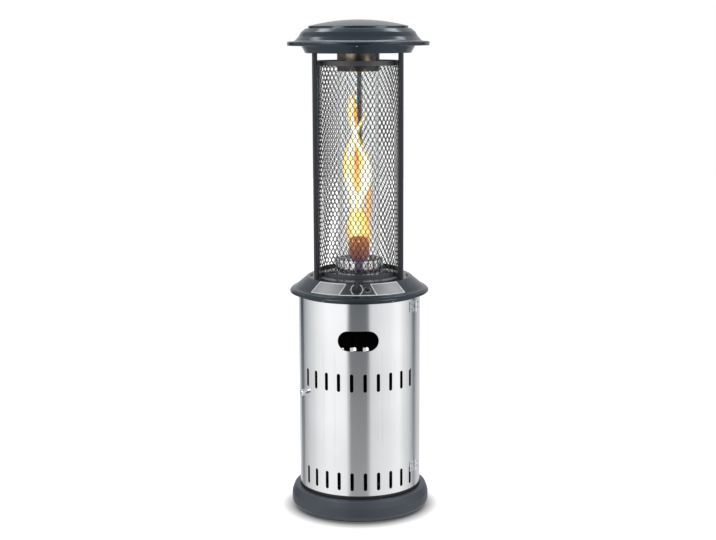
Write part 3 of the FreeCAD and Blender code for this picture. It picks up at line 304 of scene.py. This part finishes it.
inner_skin, beyond = 0.2244, 0.3
hem_low, hem_high = 0.626, 0.705
brushed_steel, tree, shader = new_material("brushed_steel", Metallic=1.0)
place, axes = object_axes(tree)
flat = add(tree, "ShaderNodeCombineXYZ", {"X": axes["X"], "Y": axes["Y"]})
radius = add(tree, "ShaderNodeVectorMath", {0: flat.outputs[0]}, operation="LENGTH")
skin = between(tree, radius.outputs["Value"], inner_skin, beyond)
hem = between(tree, axes["Z"], hem_low, hem_high)
bright = calculate(tree, "MAXIMUM", skin, hem)
# Painted shade: the inner side of the sheet, where the mask is 0, gets a near-black colour that
# stands in for the shade inside the cabinet; the outside and the hem get the steel's own grey.
tint = mixed_colour(tree, bright, (0.05, 0.05, 0.055, 1.0), (0.81, 0.81, 0.815, 1.0))
dull = scaled(tree, bright, (0.0, 1.0), (0.6, 0.14))
surface(tree, shader, brushed_lines, {"Colour": tint, "Roughness": dull, "Spread": 0.06,
                                      "Depth": 0.1})
finishes["brushed_steel"] = brushed_steel
print("cabinet steel is bright outside a radius of", inner_skin)

# %% Cup and collar steel
holder_steel, tree, shader = new_material("holder_steel", Metallic=1.0)
place, axes = object_axes(tree)
tinted = ramp(tree, noise(tree, place, 22.0, 3.0), [
    (0.3, (0.05, 0.07, 0.12)), (0.45, (0.10, 0.085, 0.075)), (0.55, (0.20, 0.15, 0.11)),
    (0.7, (0.42, 0.36, 0.28))])
collar = between(tree, axes["Z"], 1.3, 1.9)
tint = mixed_colour(tree, collar, (0.90, 0.90, 0.90, 1.0), tinted.outputs[0])
dull = scaled(tree, collar, (0.0, 1.0), (0.16, 0.34))
surface(tree, shader, brushed_lines, {"Colour": tint, "Roughness": dull, "Spread": 0.06,
                                      "Depth": 0.1})
finishes["holder_steel"] = holder_steel
print("cup and collar steel ready")

# %% [markdown]
# Glass and hot steel
#
# The tube is clear heat-resisting glass, so it needs true refraction through its wall. The
# burner head stands in the flame and glows: purple at its foot, where the gas burns blue, and
# red to orange upwards. Its colour is a ramp along Z.

# %% Glass
glass, tree, shader = new_material("glass", Base_Color=(0.98, 0.99, 0.99, 1.0), IOR=1.47,
                                   Transmission_Weight=1.0)
place = add(tree, "ShaderNodeTexCoord").outputs["Object"]
haze = scaled(tree, noise(tree, place, 6.0, 3.0), (0.45, 0.8), (0.0, 0.04))
tree.links.new(haze, shader.inputs["Roughness"])
finishes["glass"] = glass
print("glass ready")

# %% Burner steel
burner_steel, tree, shader = new_material("burner_steel", Metallic=0.6, Emission_Strength=1.0)
burner_low, burner_high = (corner.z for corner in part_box("burner_head"))
place, axes = object_axes(tree)
rise = scaled(tree, axes["Z"], (burner_low, burner_high))
mixed = calculate(tree, "MULTIPLY_ADD", noise(tree, place, 40.0, 3.0), 0.35, rise)
glow = ramp(tree, mixed, [
    (0.12, (0.0, 0.0, 0.0)), (0.24, (0.09, 0.045, 0.15)), (0.36, (0.10, 0.02, 0.015)),
    (0.7, (0.16, 0.03, 0.006)), (1.0, (0.34, 0.10, 0.015))])
tree.links.new(glow.outputs[0], shader.inputs["Emission Color"])
surface(tree, shader, brushed_lines, {"Colour": (0.2, 0.08, 0.05, 1.0), "Roughness": 0.45},
        used=("Base Color", "Roughness"))
finishes["burner_steel"] = burner_steel
print("burner glows from z =", round(burner_low, 3), "to", round(burner_high, 3))

# %% [markdown]
# Finish every solid
#
# The record names a material slot for each solid. The finish takes the place of the packed
# material in the solid's slots, and its shape stays as it is.

# %% Assign the finishes
for part in frame["record"]["subparts"]:
    solid = frame["nodes"][part["node"]]
    finish = own_finishes.get(part["node"], finishes[part["material_slot"]])
    for index in range(len(solid.data.materials)):
        solid.data.materials[index] = finish
    if not solid.data.materials:
        solid.data.materials.append(finish)

# %% [markdown]
# Surfaces from arrays
#
# New pieces are worked out as whole arrays: a row of closed sections along a path, joined into
# one skin. A section is a ring of points, and the two ends are closed by a point in the middle.


# %% Helpers for meshes
def piece(name, points, faces, finish, smooth=True):
    """A mesh object with its place in its mesh, which stays with the heater's frame.

    points is an array of places, and faces is a list of the point numbers of each face."""
    mesh = bpy.data.meshes.new(name)
    mesh.from_pydata(points.reshape(-1, 3).tolist(), [], faces)
    mesh.polygons.foreach_set("use_smooth", np.full(len(mesh.polygons), smooth))
    mesh.materials.append(finish)
    mesh.update()
    made = bpy.data.objects.new(name, mesh)
    bpy.context.scene.collection.objects.link(made)
    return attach(made, "frame")


def tube_faces(rows, sides):
    """Quads that join each section of a tube to the next, and triangles to the end points.

    Point (row, side) has the number row * sides + side. The two end points come last."""
    row, side = np.meshgrid(np.arange(rows - 1), np.arange(sides), indexing="ij")
    near = row * sides + side
    beside = row * sides + (side + 1) % sides
    quads = np.stack([near, beside, beside + sides, near + sides], -1).reshape(-1, 4)
    ring = np.arange(sides)
    after = (ring + 1) % sides
    top = (rows - 1) * sides
    foot = np.stack([after, ring, np.full(sides, rows * sides)], -1)
    head = np.stack([top + ring, top + after, np.full(sides, rows * sides + 1)], -1)
    return quads, foot, head


def tubes(centres, across, along):
    """Points and faces of many closed tubes.

    centres has the shape (tubes, rows, 3). Each section's point at angle a is
    centre + across * cos(a) + along * sin(a), where across and along have the shape
    (tubes, rows, sides, 3) with the cosine and sine already in them."""
    count, rows, sides = across.shape[:3]
    skin = (centres[:, :, None] + across + along).reshape(count, rows * sides, 3)
    points = np.concatenate([skin, centres[:, :1], centres[:, -1:]], 1)
    shift = np.arange(count)[:, None, None] * (rows * sides + 2)
    faces = []
    for part in tube_faces(rows, sides):
        faces += (part + shift).reshape(-1, part.shape[1]).tolist()
    return points, faces


print("mesh helpers ready")

# %% [markdown]
# The wire guard
#
# The real guard is expanded steel in three curved panels: each strand wanders left and right
# and is joined to its neighbour on either side in turn, which leaves staggered diamonds of
# about 18 by 31 mm. The solids have fewer and larger openings. Here every strand is a flat wire
# whose heading swings as a cosine wave with its tips cut off, in opposite phase to its
# neighbours, and it has the black paint of the solids.

# %% Wire guard
guard_low, guard_high = (corner.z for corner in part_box("guard_mesh"))
guard_radius = 0.1472
diamonds_round = 52
diamond_height = 0.031
half_width = 0.0013
depth_share = 0.6
swing_share = 0.93
tip_cut = 1.25
half_gap = 1.2


def guard_panel(name, start, stop):
    """Strands between two headings, in degrees from the front.

    Strand k stands at heading start + (k + 1/2) * pitch / 2, and swings to either side by
    pitch / 4 * swing_share. The swing is a cosine of the height times tip_cut, held between -1
    and 1, with its sign turned for odd k. A section is a rectangle that reaches half_width to
    either side along the heading, and depth_share of that in and out."""
    pitch = 2 * math.pi / diamonds_round
    count = round((math.radians(stop - start)) / (pitch / 2))
    k = np.arange(count)[:, None]
    rows = int((guard_high - guard_low) / diamond_height * 8) + 1
    z = np.linspace(guard_low, guard_high, rows)[None, :]
    wave = np.cos(2 * math.pi * (z - guard_low) / diamond_height)
    swing = np.clip(wave * tip_cut, -1, 1) * (1 - 2 * (k % 2))
    heading = math.radians(start) + (k + 0.5) * pitch / 2 + swing * pitch / 4 * swing_share
    outward = np.stack([np.sin(heading), -np.cos(heading), np.zeros_like(heading)], -1)
    sideways = np.stack([np.cos(heading), np.sin(heading), np.zeros_like(heading)], -1)
    centres = outward * guard_radius + np.stack(
        [np.zeros_like(heading), np.zeros_like(heading), np.broadcast_to(z, heading.shape)], -1)
    corner = np.radians([315, 225, 135, 45])
    reach = half_width * math.sqrt(2)
    across = sideways[:, :, None] * (np.cos(corner) * reach)[:, None]
    deep = outward[:, :, None] * (np.sin(corner) * reach * depth_share)[:, None]
    points, faces = tubes(centres, across, deep)
    made = piece(name, points, faces, finishes["black_paint"], smooth=False)
    print(name, count, "strands,", len(made.data.polygons), "faces")
    return made


for name, start in (("guard_front", -60), ("guard_right", 60), ("guard_left", 180)):
    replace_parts(guard_panel(name, start + half_gap, start + 120 - half_gap), "guard_mesh")

# %% [markdown]
# The print on the panel
#
# The plate on the slope carries two silver fields with light borders, and a dark field in the
# middle for the controls. A print is thin, but in a close view it has an edge, so each field is
# a thin plate of its own that follows the cone of the slope.

# %% Places on the slope
slope = math.radians(40.0)
fold_radius, fold_height = 0.191, 0.870
control_distance = 0.030
plate_top = 0.001
sunk = 0.0001


def on_slope(heading, distance, lift):
    """Points on the slope's cone.

    The radius is fold_radius + distance * cos(slope) + lift * sin(slope), and the height is
    fold_height - distance * sin(slope) + lift * cos(slope). Headings are in radians."""
    radius = fold_radius + distance * math.cos(slope) + lift * math.sin(slope)
    height = fold_height - distance * math.sin(slope) + lift * math.cos(slope)
    return np.stack([radius * np.sin(heading), -radius * np.cos(heading), height], -1)


def sheet_piece(name, heading, distance, thickness, finish):
    """A thin closed plate on the slope from two grids of headings and distances.

    The upper skin is the grid lifted by the thickness, the lower skin is the grid sunk a little
    into the panel, and a band of quads round the rim joins them."""
    rows, columns = heading.shape
    upper = on_slope(heading, distance, plate_top + thickness).reshape(-1, 3)
    lower = on_slope(heading, distance, plate_top - sunk).reshape(-1, 3)
    row, column = np.meshgrid(np.arange(rows - 1), np.arange(columns - 1), indexing="ij")
    near = row * columns + column
    top = np.stack([near, near + columns, near + columns + 1, near + 1], -1).reshape(-1, 4)
    size = rows * columns
    rim = np.concatenate([np.arange(columns - 1), np.arange(rows - 1) * columns + columns - 1,
                          size - 1 - np.arange(columns - 1),
                          (rows - 1 - np.arange(rows - 1)) * columns])
    after = np.roll(rim, -1)
    side = np.stack([rim, after, after + size, rim + size], -1)
    faces = np.concatenate([top, top[:, ::-1] + size, side])
    made = piece(name, np.concatenate([upper, lower]), faces.tolist(), finish, smooth=False)


def field(name, top_span, foot_span, high, low, thickness, finish):
    """A plate between two slanting sides; spans are headings in degrees at its top and foot."""
    u = np.linspace(0, 1, 25)[None, :]
    v = np.linspace(0, 1, 7)[:, None]
    left = top_span[0] + (foot_span[0] - top_span[0]) * v
    right = top_span[1] + (foot_span[1] - top_span[1]) * v
    heading = np.radians(left + (right - left) * u)
    distance = np.broadcast_to(high + (low - high) * v, heading.shape)
    sheet_piece(name, heading, distance, thickness, finish)


print("the slope runs down at", round(math.degrees(slope)), "degrees")

# %% Fields and borders
silver_print = metal("silver_print", (0.25, 0.255, 0.265), 0.4, spread=0.1)
white_line = coat("white_line", (0.62, 0.64, 0.66), 0.4, depth=0.02)
print_top, print_foot = 0.0035, 0.0588
line_width = 0.0036
line_thickness, field_thickness = 0.0002, 0.0004
left_inner = (-13.5, -17.5)
right_inner = (13.7, 17.2)
field("left_border", (-44.9, left_inner[0] + 1.0), (-46.2, left_inner[1] + 0.9),
      print_top, print_foot, line_thickness, white_line)
field("right_border", (right_inner[0] - 1.0, 44.5), (right_inner[1] - 0.9, 45.3),
      print_top, print_foot, line_thickness, white_line)
field("left_field", (-43.7, left_inner[0]), (-45.2, left_inner[1]),
      print_top + line_width, print_foot - line_width, field_thickness, silver_print)
field("right_field", (right_inner[0], 43.3), (right_inner[1], 44.3),
      print_top + line_width, print_foot - line_width, field_thickness, silver_print)
field("foot_line", (left_inner[1], right_inner[1]), (left_inner[1], right_inner[1]),
      print_foot - line_width, print_foot, line_thickness, white_line)
print("two silver fields and their borders")


# %% Dial marks
def arc(name, heading, radius, width, start, stop, stretch=1.0):
    """A flat mark round a control, between two angles counted from uphill.

    At angle a and radius q the heading is the control's plus q * sin(a) over the cone's radius,
    and the distance down the slope is the control's minus q * cos(a) * stretch."""
    a = np.radians(np.linspace(start, stop, 25))[None, :]
    q = np.linspace(radius + width / 2, radius - width / 2, 3)[:, None]
    distance = control_distance - q * np.cos(a) * stretch
    reach = fold_radius + distance * math.cos(slope)
    angles = math.radians(heading) + q * np.sin(a) / reach
    sheet_piece(name, angles, distance, mark_thickness, white_line)


mark_thickness = 0.0003
knob_heading, igniter_heading = -1.2, 8.8
dial_radius, dial_stretch = 0.0208, 1.22
arc("dial_right", knob_heading, dial_radius, 0.0030, 32, 148, dial_stretch)
arc("dial_left", knob_heading, dial_radius, 0.0030, 212, 328, dial_stretch)
for number, angle in enumerate((-90, 90)):
    arc("dial_tick_%d" % number, knob_heading, 0.0242, 0.0030, angle - 2.2, angle + 2.2)
arc("igniter_ring", igniter_heading, 0.0125, 0.0008, 0, 359.9)
print("dial marks")

# %% [markdown]
# The flame
#
# A gas flame that burns in a tall tube is drawn up in a slow spiral: two tongues cross, part
# and meet again. Each tongue is a flattened tube that follows a line of its own, and its skin
# carries two values: how hot it is, which a ramp turns into colour, and how dense it is, which
# fades its edges to nothing. It is a third brighter than white, so that it outshines the dark
# wires before it, as a real flame does.

# %% Flame finish
flame_finish, tree, shader = new_material(
    "flame", Base_Color=(0.0, 0.0, 0.0, 1.0), Roughness=1.0, Specular_IOR_Level=0.0,
    Emission_Strength=1.35)
warmth = add(tree, "ShaderNodeAttribute", attribute_name="warmth").outputs["Fac"]
dense = add(tree, "ShaderNodeAttribute", attribute_name="dense").outputs["Fac"]
place = add(tree, "ShaderNodeTexCoord").outputs["Object"]
rising = add(tree, "ShaderNodeMapping", {"Vector": place, "Scale": (60.0, 60.0, 9.0)})
streak = noise(tree, rising.outputs[0], 1.0, 2.0, Distortion=0.4)
swing = calculate(tree, "MULTIPLY_ADD", streak, 0.9, -0.45)
flame_colours = ramp(tree, calculate(tree, "ADD", warmth, swing), [
    (0.05, (0.55, 0.06, 0.01)), (0.3, (0.90, 0.30, 0.02)), (0.55, (1.0, 0.62, 0.08)),
    (0.75, (1.0, 0.86, 0.28)), (0.95, (1.0, 0.98, 0.82))])
tree.links.new(flame_colours.outputs[0], shader.inputs["Emission Color"])
thin = calculate(tree, "MULTIPLY_ADD", swing, 0.8, 1.0)
tree.links.new(calculate(tree, "MULTIPLY", dense, thin, use_clamp=True), shader.inputs["Alpha"])
print("flame finish ready")


# %% Tongues of flame
def smooth_line(at_z, values, z):
    """Values at heights z: straight between the given ones, then softened by a sliding mean."""
    reach = 5
    window = np.hanning(2 * reach + 1)
    padded = np.pad(np.interp(z, at_z, values), reach, mode="edge")
    return np.convolve(padded, window / window.sum(), "valid")


def tongue(name, at_z, middle, depth, half, turn, hot, body):
    """A flattened tube up the given heights, in metres.

    At height z its section is an ellipse round (middle, depth), of half width `half` along the
    heading `turn` and a quarter of that across it. With a round the section, the heat is
    hot * (1 - cos(a)^2 / 2) and the density is body * (1 - |cos(a)|^2.5), so both fall off
    towards the edges. The density also fades at the foot and the head."""
    rows, sides = 64, 20
    flatness = 0.25
    foot_fade, head_fade = 0.08, 0.12
    z = np.linspace(at_z[0], at_z[-1], rows)
    x, y, w, t, h, d = (smooth_line(at_z, values, z) for values in
                        (middle, depth, half, turn, hot, body))
    t = np.radians(t)
    a = np.linspace(0, 2 * math.pi, sides, endpoint=False)
    centres = np.stack([x, y, z], -1)[None]
    wide = np.stack([np.cos(t), np.sin(t), np.zeros_like(t)], -1)
    thick = np.stack([-np.sin(t), np.cos(t), np.zeros_like(t)], -1)
    across = (w[:, None] * np.cos(a))[..., None] * wide[:, None]
    along = (w[:, None] * flatness * np.sin(a))[..., None] * thick[:, None]
    points, faces = tubes(centres, across[None], along[None])
    made = piece(name, points, faces, flame_finish)
    edge = np.abs(np.cos(a))[None, :]
    run = np.linspace(0, 1, rows)[:, None]
    ends = np.clip(run / foot_fade, 0, 1) * np.clip((1 - run) / head_fade, 0, 1)
    for label, value in (("warmth", h[:, None] * (1 - 0.5 * edge ** 2)),
                         ("dense", d[:, None] * (1 - edge ** 2.5) * ends)):
        layer = made.data.attributes.new(label, "FLOAT", "POINT")
        layer.data.foreach_set("value", np.concatenate([value.ravel(), [0, 0]]))


heights = [1.005, 1.054, 1.091, 1.128, 1.165, 1.202, 1.239, 1.276, 1.312, 1.338, 1.362, 1.386,
           1.411, 1.447, 1.484]
tongue("flame_left", heights,
       [-.030, -.029, -.020, -.012, -.016, -.030, -.041, -.044, -.042, -.036, -.022, -.012,
        -.002, .020, .028],
       [-.02, -.01, 0, .01, .012, .006, 0, -.006, -.01, -.01, -.006, 0, .006, .008, .008],
       [.018, .018, .017, .016, .018, .020, .020, .018, .017, .016, .012, .011, .010, .008, .003],
       [20, 10, 0, -20, -30, -20, 0, 15, 25, 30, 30, 20, 10, 0, 0],
       [.7, .75, .85, 1.2, 1.35, 1.2, .9, .8, .8, .95, 1.15, 1.2, 1.0, .8, .6],
       [.5, .6, .8, .9, .95, .9, .8, .75, .75, .8, .85, .85, .6, .4, .1])
right_heights = heights + [1.521, 1.562]
tongue("flame_right", right_heights,
       [.030, .026, .008, -.004, .008, .024, .034, .032, .020, .004, -.008, -.014, -.016, -.025,
        -.026, -.026, -.019],
       [.02, .01, 0, -.01, -.012, -.01, -.004, .004, .01, .01, .006, 0, -.004, -.006, -.006,
        -.004, 0],
       [.016, .016, .014, .014, .020, .024, .019, .016, .015, .013, .013, .013, .012, .019, .020,
        .015, .003],
       [-20, -10, 0, 20, 30, 25, 10, -10, -20, -30, -30, -10, 0, 10, 15, 10, 0],
       [.6, .7, .8, 1.0, 1.1, 1.3, 1.4, 1.3, 1.2, 1.1, 1.1, 1.15, 1.1, .9, .85, .8, .6],
       [.5, .6, .7, .85, .9, .95, .85, .8, .8, .85, .85, .85, .8, .75, .7, .55, .1])
tongue("flame_body", [1.10, 1.13, 1.168, 1.205, 1.231, 1.27, 1.309, 1.336, 1.37, 1.40],
       [-.013, -.014, -.006, .0, -.006, -.008, -.009, -.016, -.014, -.012], [.02] * 10,
       [.016, .024, .034, .046, .052, .054, .050, .036, .022, .010],
       [0, 0, 0, 5, 5, 0, -5, -5, 0, 0], [.8, .9, .95, .9, .85, .8, .8, .85, .9, .9],
       [.5, .75, .8, .8, .8, .8, .75, .7, .6, .3])
tongue("flame_heart", [1.17, 1.20, 1.25, 1.30, 1.35], [-.006, -.006, -.007, -.008, -.010],
       [-.022] * 5, [.008, .012, .013, .010, .004], [0, 0, 0, 0, 0],
       [.6, .55, .5, .42, .35], [.4, .6, .65, .75, .6])
tongue("flame_edge", [1.41, 1.44, 1.48, 1.52], [-.006, -.009, -.012, -.016], [-.02] * 4,
       [.006, .008, .008, .003], [0, 0, 0, 0], [.5, .42, .42, .5], [.5, .7, .6, .2])
tongue("flame_wisp", [1.04, 1.09, 1.14, 1.19, 1.23], [.030, .034, .036, .036, .030],
       [-.01, -.004, 0, .004, .006], [.010, .014, .015, .012, .006], [30, 20, 0, -20, -30],
       [.45, .4, .35, .4, .5], [.35, .45, .45, .4, .1])
tongue("flame_base", [0.955, 0.985, 1.01, 1.03, 1.06, 1.10, 1.13],
       [.0, .0, .0, .0, -.002, -.006, -.010], [0, 0, -.01, -.012, -.01, 0, 0],
       [.046, .049, .052, .053, .046, .032, .02], [0] * 7,
       [.6, .65, .7, .75, .8, .8, .85], [.2, .35, .6, .75, .75, .7, .5])
print("seven tongues of flame up to", right_heights[-1])

# %% [markdown]
# The studio
#
# A white floor and white surroundings, as in a catalogue. Steel shows what stands round it, so
# the surroundings carry the usual light and dark of a studio for curved metal: a dark gap where
# the camera stands, wide white screens beside it, and a dark flag at each side that draws the
# edge of the cylinder. Shiny surfaces see these bands, softened below and plain overhead. Matt
# surfaces get an even light, and the camera and the glass see plain white.

# %% Surroundings
world = bpy.data.worlds.new("studio")
bpy.context.scene.world = world
world.use_nodes = True
tree = world.node_tree
background = tree.nodes["Background"]
direction = add(tree, "ShaderNodeTexCoord")
axes = add(tree, "ShaderNodeSeparateXYZ", {0: direction.outputs["Generated"]}).outputs
turn = calculate(tree, "ARCTAN2", axes["X"], calculate(tree, "MULTIPLY", axes["Y"], -1.0))
share = scaled(tree, turn, (-math.pi, math.pi))


def grey(value, cool=0.015):
    """A grey whose red is lowered and blue raised by the share `cool`."""
    return (value * (1 - cool), value, value * (1 + cool))


def at(degrees):
    """The place on the ramp of a heading, which runs from -180 to 180 degrees."""
    return (degrees + 180) / 360


tones = [
    (-180, 0.75), (-152, 0.7, 0.08), (-145, 0.03, 0.25), (-133, 0.06, 0.25), (-125, 0.42, 0.06),
    (-117, 0.55, 0.05), (-97, 0.84), (-80, 1.05), (-60, 1.22), (-23.5, 1.15), (-17, 0.11, 0.09),
    (16, 0.11, 0.09), (22, 0.82), (60, 1.02), (80, 1.2), (100, 0.85), (118, 0.45, 0.07),
    (126, 0.08, 0.25), (131, 0.08, 0.25), (137, 0.52, 0.08), (150, 0.62), (180, 0.75)]
bands = ramp(tree, share, [(at(degrees), grey(*tone)) for degrees, *tone in tones])
low_part = scaled(tree, axes["Z"], (-0.33, -0.17), (0.45, 0.0))
softened = mixed_colour(tree, low_part, bands.outputs[0], (0.8, 0.8, 0.8, 1.0))
high_part = scaled(tree, axes["Z"], (0.15, 0.5))
overhead = mixed_colour(tree, high_part, softened, (0.85, 0.85, 0.87, 1.0))
ray = add(tree, "ShaderNodeLightPath").outputs
lit = mixed_colour(tree, ray["Is Glossy Ray"], (0.45, 0.45, 0.46, 1.0), overhead)
looked_at = calculate(tree, "MAXIMUM", ray["Is Camera Ray"], ray["Is Transmission Ray"])
seen = mixed_colour(tree, looked_at, lit, (1.0, 1.0, 1.0, 1.0))
tree.links.new(seen, background.inputs["Color"])
print("surroundings with", len(bands.color_ramp.elements), "stops")

# %% [markdown]
# Floor and lamps
#
# The floor is white to the camera, with a soft grey shadow round the base ring that grows out a
# little to the front. Part of that shadow is the lamps' real shadow on a floor that looks darker
# to the camera, and part is a painted shadow: the floor's glow to the camera fades to nothing
# towards the base ring. Shiny surfaces look through it, because the bands of the surroundings
# already say what they see. Two lamps stand in front, left and right, and a wide one hangs
# behind and above, which draws a line of light along the hood.

# %% Floor and lamps
shadow_middle, shadow_edge = 0.235, 0.308
shadow_shift = 0.025
floor_material, tree, shader = new_material("floor_white", Roughness=0.9, Emission_Strength=1.0)
ray = add(tree, "ShaderNodeLightPath").outputs
place, axes = object_axes(tree)
shifted = calculate(tree, "ADD", axes["Y"], shadow_shift)
flat = add(tree, "ShaderNodeCombineXYZ", {"X": axes["X"], "Y": shifted})
reach = add(tree, "ShaderNodeVectorMath", {0: flat.outputs[0]}, operation="LENGTH")
# Painted shadow: the floor's glow to the camera is nothing inside shadow_middle and full white
# beyond shadow_edge, round a middle moved shadow_shift to the front.
white = scaled(tree, reach.outputs["Value"], (shadow_middle, shadow_edge))
looked_at = calculate(tree, "MAXIMUM", ray["Is Camera Ray"], ray["Is Transmission Ray"])
glow_with_painted_shadow = mixed_colour(tree, looked_at, (0.35, 0.35, 0.35, 1.0), white)
tree.links.new(glow_with_painted_shadow, shader.inputs["Emission Color"])
ground = mixed_colour(tree, looked_at, (0.8, 0.8, 0.8, 1.0), (0.25, 0.25, 0.25, 1.0))
tree.links.new(ground, shader.inputs["Base Color"])
clear = add(tree, "ShaderNodeBsdfTransparent")
mixed = add(tree, "ShaderNodeMixShader", {0: ray["Is Glossy Ray"], 1: shader.outputs[0],
                                          2: clear.outputs[0]})
tree.links.new(mixed.outputs[0], tree.nodes["Material Output"].inputs["Surface"])
floor_mesh = bpy.data.meshes.new("floor")
floor_mesh.from_pydata([(-9, -4.5, 0), (9, -4.5, 0), (9, 12, 0), (-9, 12, 0)], [], [(0, 1, 2, 3)])
floor_mesh.materials.append(floor_material)
floor = bpy.data.objects.new("floor", floor_mesh)
bpy.context.scene.collection.objects.link(floor)


def lamp(name, place, target, width, depth, power):
    """A soft rectangular lamp that faces a point, `width` wide from left to right."""
    data = bpy.data.lights.new(name, "AREA")
    data.shape = "RECTANGLE"
    data.size, data.size_y = width, depth
    data.energy = power
    made = bpy.data.objects.new(name, data)
    made.location = place
    aim = Vector(target) - Vector(place)
    made.rotation_euler = aim.to_track_quat("-Z", "Y").to_euler()
    bpy.context.scene.collection.objects.link(made)


lamp("left_lamp", (-2.6, -2.4, 3.2), (0, 0, 1.0), 1.6, 1.6, 60)
lamp("right_lamp", (2.8, -2.0, 2.8), (0, 0, 0.9), 1.6, 1.6, 45)
lamp("top_lamp", (0.0, 1.6, 4.6), (0, 0, 1.4), 5.0, 0.9, 80)
print("floor and three lamps")
